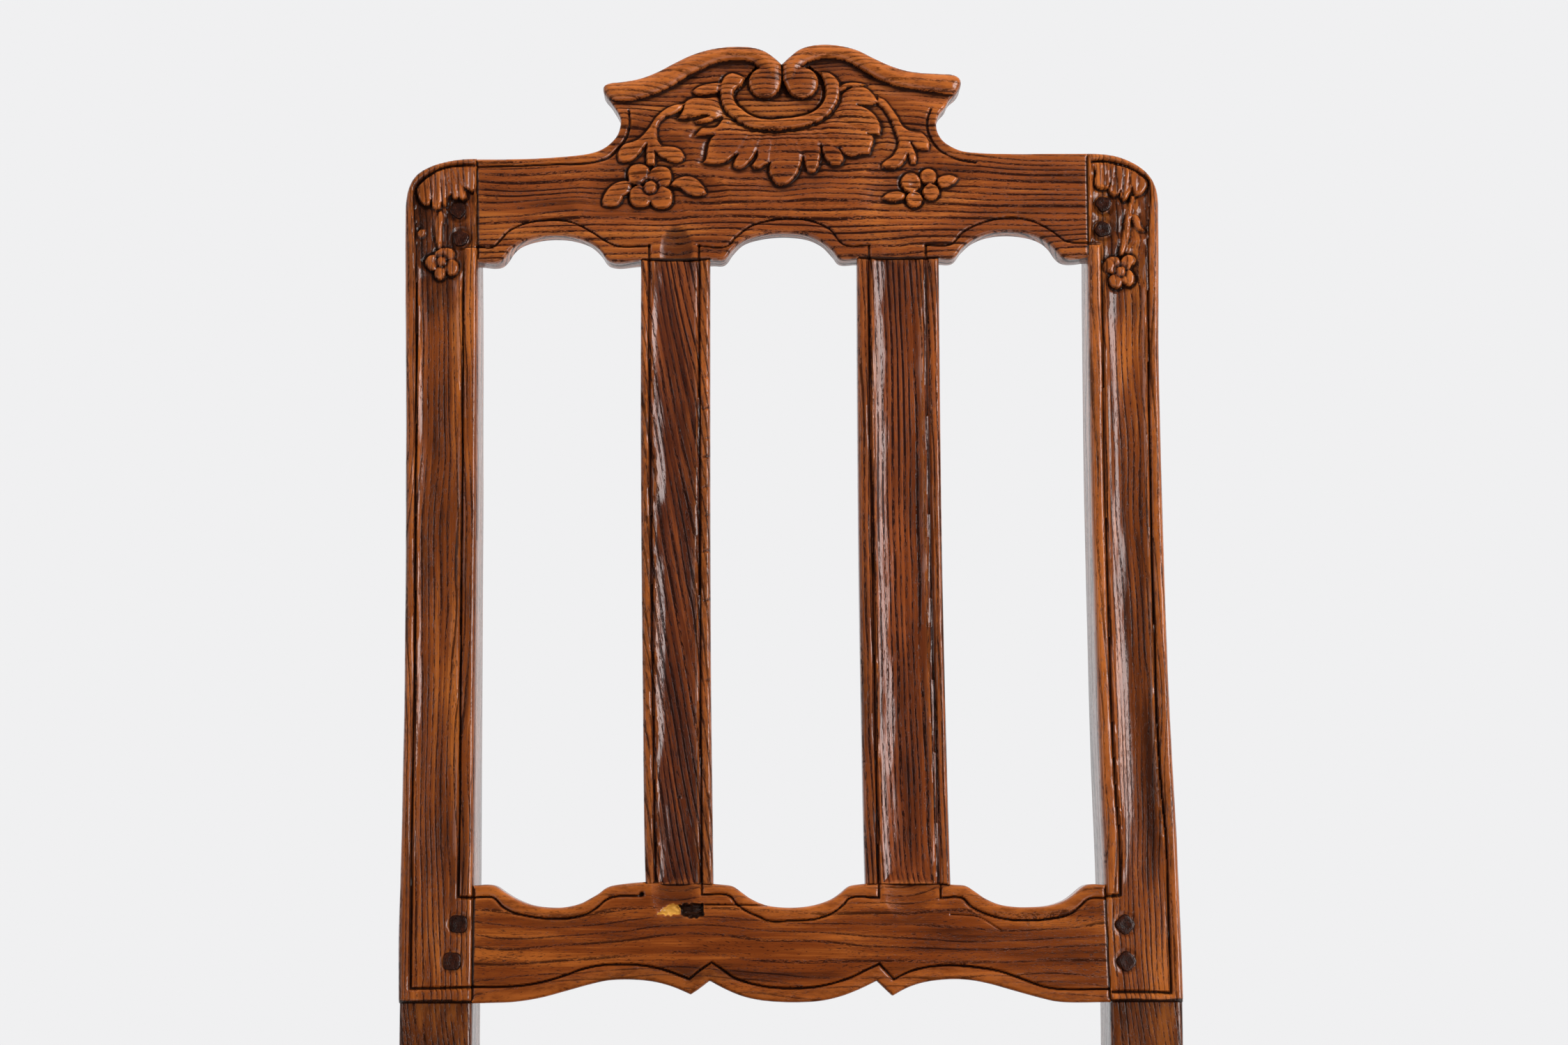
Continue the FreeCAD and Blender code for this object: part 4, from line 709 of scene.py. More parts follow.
def lined_edges(sheet, depth, lines, size, width):
    """Incised lines along the edges, with a rounded strip between each line and its edge."""
    edge = sheet.edge(EDGE_REACH)
    strip = np.zeros(sheet.u.shape)
    for path, far in lines:
        path = smooth(path, False)
        away = sheet.line(path)
        depth = depth + groove(away, LINE_WIDTH * size, LINE_DEPTH * size)
        area = sheet.within([*path, (path[-1][0], far), (path[0][0], far)])
        strip = np.where(area, 0.9 * edge_fall(np.minimum(away, edge), width), strip)
    return depth + strip


def side_strips(sheet, inset, fall, width):
    """The strips between a long hollow and the outline, rounded on both sides."""
    room = np.minimum(sheet.edge(EDGE_REACH), np.maximum(-inset, 0))
    return np.where(inset < 0, fall * edge_fall(room, width), 0)


def flute(share):
    """The section of a hollow, from 0 at its edge to 1 at its middle."""
    share = np.clip(share, 0, 1)
    return 0.55 * (1 - (1 - share) ** 2) + 0.45 * np.sqrt(1 - (1 - share) ** 2)


# The crest rail
LEAVES = (LEFT_SMALL_LEAF, RIGHT_SMALL_LEAF, LEFT_VINE, RIGHT_VINE, LEFT_LEAF_A, LEFT_LEAF_B, RIGHT_LEAF_A,
          RIGHT_LEAF_B)
SMALL_LEAVES = 2         # the first two lie over the shell
LEAF_VEINS = ([(-78, 521), (-84, 513), (-93, 504.5), (-99, 499.5)], [(-82.8, 507), (-83, 495)],
              [(-78, 504), (-70, 501.5), (-65, 499)])
BOWL_TOP = [(-20, 556), (-4.5, 549), (12, 556)]
ROLLS_MEET = CREST_TOP_LEFT[-1]
ROLL_SIDE, ROLL_OVER = 130.0, 600.0
LEFT_ROLL_END = [(-16.4, 553.0), (-14.8, 545.0), (-6.4, 540.5), (-4.4, 547.0), ROLLS_MEET]
RIGHT_ROLL_END = [(7.4, 552.6), (7.8, 545.0), (-1.0, 540.5), (-4.2, 547.0), ROLLS_MEET]
BALL_RADIUS = 9.7
SHELL_HEART = (-5.5, 541.0)
SHELL_RIBS = ((-46, 523.5), (-39.5, 523.8), (-45, 512.6), (-30.5, 501.2), (-19.3, 502.8), (-11.4, 495.6),
              (8.0, 499.2), (18.7, 506.6), (29.7, 504.3), (46.7, 513.5), (40.8, 531.2))
FAN_CUTS = np.radians(np.linspace(214, 322, 15))
CREST_WAVES = 0.16
GROUND_DROP, GROUND_REACH = 2.2, 17.0            # the ground falls away toward the carving
BOWL_DEPTH, BOWL_RISE, BOWL_EDGE = 4.6, 1.2, 7.0
UNDER_ROLLS, UNDER_ROLLS_WIDTH = 3.0, 5.5
VEIN_DEPTH, VEIN_WIDTH = 0.28, 1.1
ROLL_TOP, ROLL_FALL, ROLL_WIDTH = 0.15, 4.0, 8.0
BALL_TOP, BALL_FALL = 0.05, 2.9
UNDER_ARCHES = 400.0
GOUGE_BASE = 442.0
GOUGES = ((-67.2, 10.4, 15.5, 2.0), (63.5, 8.6, 9.0, 0.8))    # middle, half width, height and depth
LEFT_FLOWER = SimpleNamespace(form=Sheet.soft_square, petals=LEFT_PETALS, radii=(6.6,) * 4, lean=0.75,
                              bowl=4.2, deep=1.7, button=CREST_BUTTON)
RIGHT_FLOWER = SimpleNamespace(form=Sheet.disc, petals=RIGHT_PETALS, radii=(6.0, 4.9, 4.9, 4.9), lean=0.35,
                               bowl=3.0, deep=1.0, button=None)


def roll_inset(sheet, edge, lower_edge, side):
    """How far inside one roll of the top edge each point is, from its lower edge and from the outline."""
    away = sheet.near(lower_edge, False, CREST_REACH)[0]
    over = [(ROLLS_MEET[0], ROLL_OVER), (side, ROLL_OVER), (side, lower_edge[0][1])]
    return np.where(sheet.within([*lower_edge, *over]), np.minimum(away, edge), -away)


def shell_surface(sheet, scroll):
    """The shell falls away from the scroll to its tips, with shallow gouge cuts along its ribs."""
    heart = np.array(SHELL_HEART)
    ribs = np.zeros(sheet.u.shape)
    for tip in np.array(SHELL_RIBS):
        ribs = np.maximum(ribs, hump(sheet.line([heart + (tip - heart) * 0.52, tip]), 1.7))
    for k, angle in enumerate(FAN_CUTS):
        toward = np.array([math.cos(angle), math.sin(angle)])
        run = [heart + r * toward for r in (24.5 + k % 3, 36.0 + 3 * (k % 2))]
        ribs = np.maximum(ribs, 0.5 * hump(sheet.line(run), 0.9))
    fan = 1.1 + 1.9 * hump(np.maximum(-scroll, 0), 4.2)
    cuts = 0.62 * ribs * ease(sheet.away(SHELL_HEART), 16, 26)
    return fan + cuts + 0.5 * sheet.uneven(19, CREST_WAVES)


def with_flower(sheet, depth, flower):
    """The crest with one of its two small flowers: four cupped petals, and a button where it has one."""
    middle = np.mean(flower.petals, axis=0)
    for petal, radius in zip(np.array(flower.petals, float), flower.radii):
        inset = flower.form(sheet, petal, radius)
        bowl = hump(sheet.away(petal + (middle - petal) * flower.lean), flower.bowl)
        surface = 0.9 + 0.35 * edge_fall(inset, 1.7) + flower.deep * bowl
        depth = laid(trench(depth, inset, 0.5, 0.8, 0.9), surface, inset, -0.5, 0.7)
    return raised(depth, sheet.disc(flower.button, 3.8), "button") if flower.button else depth


def crest_depth(sheet):
    """The crest rail, from its ground up: leaves, shell, scroll, flowers, rolls and incised lines."""
    paths = (*LEAVES, SHELL, SCROLL_OUTER + SCROLL_INNER)
    *leaves, fan, scroll = (sheet.shape(path, CREST_REACH) for path in paths)
    petals = [flower.form(sheet, *petal) for flower in (LEFT_FLOWER, RIGHT_FLOWER)
              for petal in zip(flower.petals, flower.radii)]
    nearest = np.max([*leaves, fan, scroll, *petals], axis=0)
    v = FIELD + sheet.uneven(11, CREST_WAVES) + GROUND_DROP * ease(nearest, -GROUND_REACH, -0.5)
    bowl = sheet.shape([*SCROLL_INNER, *BOWL_TOP], CREST_REACH)
    floor = BOWL_DEPTH + BOWL_RISE * edge_fall(bowl, BOWL_EDGE) + 0.5 * sheet.uneven(15, CREST_WAVES)
    v = np.where(bowl > 0, floor, v)

    edge = sheet.edge(CREST_REACH)
    rolls = [roll_inset(sheet, edge, [*smooth(line, False), *end], side) for line, end, side in (
        (LEFT_MOULDING_EDGE, LEFT_ROLL_END, -ROLL_SIDE), (RIGHT_MOULDING_EDGE, RIGHT_ROLL_END, ROLL_SIDE),
    )]
    v = v + UNDER_ROLLS * hump(np.minimum(np.maximum(*rolls), 0), UNDER_ROLLS_WIDTH)

    for inset in leaves[SMALL_LEAVES:]:
        v = raised(v, inset, "leaf")
    for path in LEAF_VEINS:
        v = v + VEIN_DEPTH * hump(sheet.curve(path), VEIN_WIDTH)
    surface = shell_surface(sheet, scroll) + 0.9 * edge_fall(fan, 3.4)
    v = laid(trench(v, fan, 0.6, 1.4, 1.8), surface, fan, -0.6, 0.8)
    for inset in leaves[:SMALL_LEAVES]:
        v = raised(v, inset, "small leaf")
    v = raised(v, scroll, "scroll")
    for flower in (LEFT_FLOWER, RIGHT_FLOWER):
        v = with_flower(sheet, v, flower)

    # the two rolls of the top edge and the ball each one ends in
    for inset, ball in zip(rolls, (LEFT_BALL, RIGHT_BALL)):
        v = laid(v, ROLL_TOP + ROLL_FALL * edge_fall(inset, ROLL_WIDTH), inset, -0.4, 0.6)
        inset = sheet.disc(ball, BALL_RADIUS)
        dome = BALL_TOP + BALL_FALL * edge_fall(inset, BALL_RADIUS)
        v = np.where(inset > -0.4, np.minimum(v, laid(v, dome, inset, -0.5, 0.6)), v)

    # incised lines, and the ends of the slats' hollows, which run on into the crest
    neck = np.minimum(sheet.curve(LEFT_NECK_LINE), sheet.curve(RIGHT_NECK_LINE))
    v = v + groove(neck, LINE_WIDTH, LINE_DEPTH)
    lines = [(path, UNDER_ARCHES) for path in (ARCH_LINE_LEFT, ARCH_LINE_MIDDLE, ARCH_LINE_RIGHT)]
    v = lined_edges(sheet, v, lines, 0.85, 3.4)
    for slat in SLATS.values():
        for across, up in (path[0] for path in slat.grooves):
            v = v + groove(sheet.line([(across, up - 14), (across, up + 0.4)]), LINE_WIDTH, LINE_DEPTH)
    for middle, across, up, deep in GOUGES:
        v = v + scoop(sheet, (middle, GOUGE_BASE), across, up, deep)
    return v


def crest_stain_and_shade(sheet, depth):
    """The ground of the carving is darker where it lies deeper, as painted shade, and the arches, the left
    end and the gouge over the left slat are darker.
    """
    middle, across, up, _ = GOUGES[0]
    gouge = 0.55 * ease(-sheet.away((middle, GOUGE_BASE), across, up), -1.05, -0.8)
    end = 0.3 * ease(-sheet.u, 148, 186) * ease(-sheet.w, -500, -470)
    # painted shade: the deep ground round the carving and in the scroll's bowl is darker
    ground = 0.3 * ease(depth, 1.9, 3.2) * ease(sheet.w, 455, 470)
    arches = 0.24 * ease(-sheet.w, -460, -450)
    return -np.max([gouge, end, ground, arches], axis=0)


def crest_wear_and_highlight(sheet):
    """The rolls of the top edge are rubbed the most and lightened by a painted highlight of the light from
    above, and the shell and the arches are rubbed least.
    """
    shell_side = ease(-sheet.away((-4, 516)), -48, -30)
    low = ease(-sheet.w, -464, -454)
    # the rolls are lighter partly as wear and partly as a painted highlight of the light from above
    rolls = ease(-sheet.edge(CREST_REACH), -13, -4) * ease(sheet.w, 520, 545)
    return 0.65 * rolls - 0.35 * np.maximum(shell_side, low)


# The rear posts
POST_FIELD, POST_WAVES = 0.3, 0.14
HOLLOW_FOOT, HOLLOW_HEAD = (52, 96), (425, 446)  # where a post's hollow starts and ends, up the slope
CARVED_TOP = (410, 446)
SUNK, SUNK_LUMPS = 2.3, 0.8                      # the ground of the carved top
CUT_DEPTH, CUT_WIDTH = 0.75, 0.6
BUTTON_RING = 3.2
PEG_DISH, PEG_RIM = 0.35, 0.8
FOOT_STEP = 1.0
POSTS = {
    "left": SimpleNamespace(
        sides=(LEFT_POST_OUTER, LEFT_POST_INNER), line=LEFT_POST_LINE, inner_line=LEFT_POST_INNER_LINE,
        inner_width=1.1, fringe=LEFT_FRINGE, cuts=LEFT_FRINGE_CUTS, small=(LEFT_STEM, LEFT_BUD),
        flower=LEFT_POST_FLOWER, button=LEFT_POST_BUTTON,
        notches=((-199.5, 436.2), (-203.9, 428.0), (-210.9, 428.9), (-211.2, 438.9), (-204.9, 442.9)),
        hollow=2.1, wear=-0.25, seed=31, dents=57, shift=300, leg=(-224.35, -182.65, 4.0),
    ),
    "right": SimpleNamespace(
        sides=(RIGHT_POST_INNER, RIGHT_POST_OUTER), line=RIGHT_POST_LINE, inner_line=RIGHT_POST_INNER_LINE,
        inner_width=1.4, fringe=RIGHT_FRINGE, cuts=RIGHT_FRINGE_CUTS, small=(RIGHT_STEM, RIGHT_POST_LEAF),
        flower=RIGHT_POST_FLOWER, button=RIGHT_POST_BUTTON,
        notches=((192.1, 427.2), (198.2, 422.1), (202.8, 430.2), (196.9, 436.0), (190.5, 437.0)),
        hollow=3.7, wear=0.1, seed=41, dents=58, shift=610, leg=(225.25, 183.55, -4.0),
    ),
}


def post_depth(sheet, post):
    """A rear post: a long hollow between incised lines, and a fringe, a stem and a flower at its top."""
    inset = sheet.inset(between_lines(post.line, post.inner_line), POST_REACH)
    v = POST_FIELD + sheet.uneven(post.seed, POST_WAVES, "up") + side_strips(sheet, inset, 1.1, 3.2)
    along = ease(sheet.w, *HOLLOW_FOOT) * (1 - ease(sheet.w, *HOLLOW_HEAD))
    top = ease(sheet.w, *CARVED_TOP)
    hollow = post.hollow * flute((inset - 1.6) / 11.0)
    sunk = (SUNK + SUNK_LUMPS * sheet.lumps(5, 6, 51)) * ease(inset, 0, 1.4)
    v = v + np.where(inset > 0, hollow * along + sunk * top + 0.7 * (1 - along) * (1 - top), 0)
    v = v + np.where(inset > 3, 0.5 * sheet.lumps(6, 44, post.dents) * along, 0)

    fringe = sheet.shape(post.fringe, EDGE_REACH)
    v = raised(v, fringe, "fringe")
    for path in post.cuts:
        v = v + CUT_DEPTH * hump(sheet.curve(path), CUT_WIDTH) * ease(fringe, -0.5, 0.6)
    for path in post.small:
        v = raised(v, sheet.shape(path, EDGE_REACH), "stem")
    flower = sheet.shape(post.flower, EDGE_REACH)
    v = raised(v, flower, "post flower")
    v = v + hump(sheet.away(post.button) - BUTTON_RING, BUTTON_RING / 2) * (flower > 0)
    for notch in post.notches:
        v = v + 0.8 * hump(sheet.line([post.button, notch]), CUT_WIDTH) * (flower > -0.5)
    v = raised(v, sheet.disc(post.button, 2.6), "post button")
    v = v + groove(sheet.curve(post.line), LINE_WIDTH * 1.15, LINE_DEPTH * 1.25)
    v = v + groove(sheet.curve(post.inner_line), LINE_WIDTH * post.inner_width, LINE_DEPTH * 1.3)
    for peg in (place for places in PEGS.values() for place in places if place[0] * post.button[0] > 0):
        away = sheet.away(peg)
        v = v + PEG_RIM * hump(away - 5.6, 1.4) + PEG_DISH * hump(away, 9)
    return v + FOOT_STEP * ease(-sheet.w, -2.4, -0.9)


def post_shadow_and_stain(sheet, depth):
    """A painted shadow lies along the step at the foot of the carved face, and the ground of the carving
    above is darker.
    """
    # painted shadow along the step at the foot of the carved face
    step = ease(-sheet.w + 0.5 * sheet.lumps(4, 4, 33), -2.6, -1.4)
    patchy = 0.7 + 0.3 * sheet.lumps(6, 14, 34)
    ground = ease(depth, 1.5, 2.3) * ease(sheet.w, 386, 410) * patchy
    return -np.maximum(0.95 * step, 0.6 * ground)


def strip_wear(sheet, first, second, reach, wear):
    """How much more or less than the hollow the strips beside it are rubbed."""
    return wear * ease(-sheet.inset(between_lines(first, second), reach), -2.0, 0.8)


# The slats
SLATS = {
    "left": SimpleNamespace(
        sides=(LEFT_SLAT_LEFT, LEFT_SLAT_RIGHT), top=436.2,
        grooves=([(-83.5, 444.0), (-83.2, 390.0), (-80.8, 230.0), (-77.8, 66.0)],
                 [(-54.1, 444.0), (-53.9, 390.0), (-53.0, 230.0), (-51.7, 66.0)]),
        widths=(1.5, 1.5), hollow=(3.0, 0.9, 13.2), dents=0.75, wear=0.1, seed=61, shift=120, lean=0.18,
        hole=(-64.2, 117.5),
        nicks=((366, 5, 0.7), (357, 4, 0.5), (347, 5, 1.0), (329, 4, 0.6), (318, 5, 1.1),
               (300, 5, 0.8), (283, 4, 0.7), (262, 5, 0.9), (233, 4, 0.8), (186, 4, 0.6)),
    ),
    "right": SimpleNamespace(
        sides=(RIGHT_SLAT_LEFT, RIGHT_SLAT_RIGHT), top=437.3,
        grooves=([(47.3, 444.0), (47.1, 390.0), (48.6, 230.0), (50.6, 66.0)],
                 [(81.0, 444.0), (80.7, 390.0), (82.4, 230.0), (85.0, 66.0)]),
        widths=(1.5, 2.6), hollow=(3.8, 1.9, 14.0), dents=0.4, wear=-0.2, seed=71, shift=470, lean=0.03,
        hole=None, nicks=(),
    ),
}
SLAT_FOOT = 66.6
SLAT_WAVES = 0.2
SLAT_LINE = 1.6
SLAT_ENDS = 0.7
NICK_EDGE = -46.0


def slat_depth(sheet, slat):
    """A slat: a hollow between two soft grooves, with the nicks and the nail hole that it has."""
    inset = sheet.inset(between_lines(*slat.grooves), SLAT_REACH)
    v = FIELD + sheet.uneven(slat.seed, SLAT_WAVES, "up") + side_strips(sheet, inset, 0.8, 3.0)
    deep, margin, half = slat.hollow
    v = v + np.where(inset > 0, deep * flute((inset - margin) / half), 0)
    for path, width in zip(slat.grooves, slat.widths):
        away = sheet.curve(path)
        v = v + SLAT_LINE * ease(away, width, width * 0.35) + 0.2 * hump(away, 2.6)
    v = v + np.where(inset > 2, slat.dents * sheet.lumps(6, 30, slat.seed + 4), 0)
    if slat.hole:
        v = v + 1.1 * hump(sheet.away(slat.hole), 1.2)
    for up, long, deep in slat.nicks:
        v = v + deep * hump(sheet.line([(NICK_EDGE, up), (NICK_EDGE - long, up - 1.4)]), 0.75)
    low, high = sheet.outline[:, 1].min(), sheet.outline[:, 1].max()
    for place, end in ((sheet.w, high), (-sheet.w, -low)):
        v = v + SLAT_ENDS * ease(place, end - 0.9, end - 0.3)
    return v


# The lower rail
RAIL_LINES = ((RAIL_TOP_A, 100.0), (RAIL_TOP_B, 100.0), (RAIL_TOP_C, 100.0), (RAIL_BOTTOM, -40.0))
RAIL_SCOOPS = (((-66.5, 62.0), 14.0, 1.9), ((68.5, 62.0), 15.0, 1.7))           # centre, half width, depth
SCOOP_STAINS = (((-66.5, 60.0), 12.5, 0.42), ((68.5, 60.0), 15.0, 0.3))         # centre, half width, amount
RAIL_CHIPS = ((CHIP_LEFT, 1.3), (CHIP_RIGHT, 1.9))       # outline and depth
RAIL_CUTS = ((CRACK, 1.3, 0.6), ([(92, 50), (108, 48.5), (121, 41)], 0.8, 0.5))    # line, depth and width
RAIL_WAVES = 0.18
RAIL_HOLE = (-85.8, 61.8)


def chip_inset(sheet, chip):
    """How far inside a splintered chip each point is."""
    return sheet.inset(chip, 6.0) + 0.6 * sheet.lumps(1.5, 1.2, 92)


def rail_depth(sheet):
    """The lower rail: lines along its edges, scoops, chips, a crack, a scratch and a nail hole."""
    v = lined_edges(sheet, FIELD + sheet.uneven(81, RAIL_WAVES), RAIL_LINES, 0.9, 3.2)
    for centre, across, deep in RAIL_SCOOPS:
        v = v + scoop(sheet, centre, across, -16.0, deep)
    for chip, deep in RAIL_CHIPS:
        v = v + (deep + 0.5 * sheet.lumps(2.2, 1.6, 91)) * ease(chip_inset(sheet, chip), -0.3, 0.6)
    for path, deep, width in RAIL_CUTS:
        v = v + deep * hump(sheet.curve(path), width)
    return v + 2.4 * hump(sheet.away(RAIL_HOLE), 1.3)


def rail_stain(sheet):
    """The left chip is bare wood, and the right chip, the nail hole, the scoops and the ends are darker."""
    bare = ease(chip_inset(sheet, CHIP_LEFT), -0.5, 0.2)
    dark = np.maximum(ease(chip_inset(sheet, CHIP_RIGHT), -0.8, 0.0), hump(sheet.away(RAIL_HOLE), 1.5))
    scoops = sum(amount * ease(-scoop_share(sheet, centre, across, -20.0), -1.05, -0.6)
                 for centre, across, amount in SCOOP_STAINS)
    ends = 0.22 * ease(-sheet.u, 120, 170) + 0.3 * ease(sheet.u, 60, 150)
    spots = np.max([1.2 * dark, scoops, ends], axis=0)
    return np.where(bare > 0, bare, -spots)


def rail_wear(sheet):
    """The rounded edges of the lower rail are handled more than its ends and its field."""
    return 0.4 * ease(-sheet.edge(EDGE_REACH), -8.0, -5.0) * ease(-np.abs(sheet.u), -179, -172)


# The pieces of the back
RAIL_THICKNESS, SLAT_THICKNESS = 22.0, 18.0
POST_THICKNESS, POST_THINNING, POST_LENGTH = 54.0, 18.0, 497.0
ARCHES = ((-172.0, -107.6), (-38.9, 29.6), (97.7, 163.2))
ARCH_BEVEL = 7.0
OPEN_UNDER_CREST = ((-185, -89.3), (-45.5, 39.5), (89.8, 178))        # between the slats and the posts
OPEN_OVER_RAIL = ((-182.3, -84.6), (-43.6, 42.8), (93.0, 181.2))
LEG_STAIN = -0.48       # the frame below the carved back is darker
# the front and the rear of a rear leg: height, and place behind the origin
LEG_FRONT = [(0.0, 178.269), (82.0, 165.5), (165.0, 152.769), (250.0, 146.0), (330.0, 144.269),
    (480.0, 144.269), (505.0, 147.6), (532.0, 151.6)]
LEG_REAR = [(0.0, 218.269), (82.0, 210.0), (165.0, 203.269), (250.0, 199.3), (330.0, 198.269),
    (480.0, 198.269), (505.0, 199.3), (526.0, 201.2)]
LEG_TOP = 531.0
LEG_ROUND = 3.2
LEG_HEIGHTS = np.concatenate([np.linspace(0.0, 1.5, 3), np.linspace(4.0, LEG_TOP, 110)])
FOOT_WEAR = (1.2, 0.35)
FOOT_HEIGHT = 12.0
FOOT_AND_LEG_RUB = (0.5, 0.12)
CORNER_POINTS, SIDE_PIECES = 5, 8


def flat_back(thickness):
    """The depth of a plain back."""
    return lambda w: np.full(len(w), thickness)


def post_back(w):
    """The depth of a rear post's back, which thins towards its top."""
    return POST_THICKNESS - POST_THINNING * w / POST_LENGTH


def arch_bevel(u, w):
    """The backs of the crest's arches are cut away on a slant."""
    size = np.zeros(len(u))
    for low, high in ARCHES:
        size = np.maximum(size, ARCH_BEVEL * ease(u, low + 1, low + 12) * ease(-u, -high + 1, -high + 12))
    return np.where(w < 470, size, 0)


def ring_faces(start, rings, count):
    """The quads between rings that follow each other in a list of points, from a start on."""
    for r in range(rings - 1):
        for k in range(count):
            a, b = start + r * count + k, start + r * count + (k + 1) % count
            yield [a, b, b + count, a + count]


def leg_section(x0, x1, y0, y1, z, worn):
    """A rounded oblong at one height, with more points along its four straight sides."""
    near, far = LEG_ROUND, LEG_ROUND - worn
    ring = []
    for turn, (x, y) in enumerate(((x1 - near, y0 + near), (x1 - near, y1 - near),
                                   (x0 + near, y1 - near), (x0 + near, y0 + near))):
        for i in range(CORNER_POINTS):
            angle = math.radians(-90 + 90 * turn + 90 * i / (CORNER_POINTS - 1))
            ring.append(np.array((x + far * math.cos(angle), y + far * math.sin(angle), z)))
    out = []
    for k, (a, b) in enumerate(zip(ring, ring[1:] + ring[:1])):
        count = SIDE_PIECES if k % CORNER_POINTS == CORNER_POINTS - 1 else 1
        out += [a + (b - a) * i / count for i in range(count)]
    return np.array(out)


def rear_leg(post):
    """The part of a rear post below the carved back, from its foot up to the slope."""
    fronts, rears = (np.interp(LEG_HEIGHTS, *smooth(line, False).T) for line in (LEG_FRONT, LEG_REAR))
    outer, inner, taper = post.leg
    rows = []
    for k, (z, y0, y1) in enumerate(zip(LEG_HEIGHTS, fronts, rears)):
        x0, x1 = sorted((outer + taper * (1 - z / LEG_TOP), inner))
        rows.append(leg_section(x0, x1, y0, y1, z, FOOT_WEAR[k] if k < len(FOOT_WEAR) else 0.0))
    count = len(rows[0])
    faces = list(ring_faces(0, len(rows), count))
    faces.append(list(range(count))[::-1])
    faces.append([(len(rows) - 1) * count + k for k in range(count)])
    points = np.concatenate(rows)
    x, y, z = points.T
    return {
        "points": points * MM, "faces": faces,
        "wood": np.stack([z - BACK_BASE, x + post.shift, y - BACK_PLACE], axis=1),
        "cavity": np.zeros(len(z)), "rub": np.where(z < FOOT_HEIGHT, *FOOT_AND_LEG_RUB),
        "stain": np.full(len(z), LEG_STAIN),
    }


def openings(path, spans):
    """The stretches of a path that lie in some spans across the chair."""
    return [path[(path[:, 0] >= low) & (path[:, 0] <= high)] for low, high in spans]


def make_crest(material):
    """The crest, whose top is open and whose underside is open between the posts and the slats."""
    top, under = smooth(CREST_TOP_LEFT + CREST_TOP_RIGHT[1:], False), smooth(CREST_UNDERSIDE, False)
    sheet = Sheet(top, under, STEP)
    depth = crest_depth(sheet)
    form = carved(sheet, depth, [top, *openings(under, OPEN_UNDER_CREST)], 1.4,
                  flat_back(RAIL_THICKNESS), 1.5, along_across(), crest_wear_and_highlight(sheet),
                  crest_stain_and_shade(sheet, depth), arch_bevel)
    show_form("carved_crest", form, material, "crest_rail")


def make_lower_rail(material):
    """The lower rail of the back, whose top is open between the posts and the slats."""
    top, under = smooth(RAIL_TOP, False), smooth(RAIL_UNDERSIDE, False)
    sheet = Sheet(top, under, STEP)
    form = carved(sheet, rail_depth(sheet), [under, *openings(top, OPEN_OVER_RAIL)], 1.7,
                  flat_back(RAIL_THICKNESS), 1.5, along_across(60), rail_wear(sheet), rail_stain(sheet))
    show_form("shaped_lower_rail", form, material, "lower_back_rail")


def make_post(side, material):
    """A rear post, carved above the slope's foot, with its plain leg below."""
    post = POSTS[side]
    sides = [smooth(path, False) for path in post.sides]
    sheet = Sheet(*sides, STEP * 1.1)
    depth = post_depth(sheet, post)
    wear = strip_wear(sheet, post.line, post.inner_line, POST_REACH, post.wear)
    form = carved(sheet, depth, sides, 2.8, post_back, 3.0, along_up(post.shift), wear,
                  post_shadow_and_stain(sheet, depth))
    show_form(f"{side}_post_and_leg", joined(form, rear_leg(post)), material, f"{side}_rear_post")


def make_slat(side, material):
    """A slat, which is drawn only between the rails."""
    slat = SLATS[side]
    sides = [smooth([(u, np.clip(w, SLAT_FOOT, slat.top)) for u, w in path], False) for path in slat.sides]
    sheet = Sheet(*sides, STEP * 1.1)
    form = carved(sheet, slat_depth(sheet, slat), sides, 2.2, flat_back(SLAT_THICKNESS), 2.0,
                  along_up(slat.shift, slat.lean), strip_wear(sheet, *slat.grooves, SLAT_REACH, slat.wear))
    show_form(f"{side}_fluted_slat", form, material, f"{side}_back_slat")


# The pegs of the back, hand-cut, a little proud and worn, in place of the square blanks of the frame
PEG_ANGLES = np.linspace(0, 2 * math.pi, 36, endpoint=False)
ROUND_PEG, SQUARE_PEG = 4.7, 5.1
PEG_SQUARENESS = 3.4
PEG_TURNS = (0.05, 0.05, math.pi / 4, math.pi / 4)       # the square pegs at the right stand on a corner
PEG_RINGS = ((0.7, 16.0), (0.7, 3.4), (1.0, 3.2), (1.0, 1.9), (0.93, 1.0), (0.78, 0.62), (0.5, 0.75),
    (0.22, 0.95))                                        # share of the radius, and depth


def round_peg(turn):
    """The radius of a peg of the crest at each angle, which is an uneven round."""
    return ROUND_PEG * (1 + 0.07 * np.cos(3 * PEG_ANGLES + turn) + 0.05 * np.cos(5 * PEG_ANGLES + 2 * turn))


def square_peg(turn):
    """The radius of a peg of the lower rail at each angle, which is a soft square."""
    spin = PEG_ANGLES + turn
    power = PEG_SQUARENESS
    return SQUARE_PEG / (np.abs(np.cos(spin)) ** power + np.abs(np.sin(spin)) ** power) ** (1 / power)


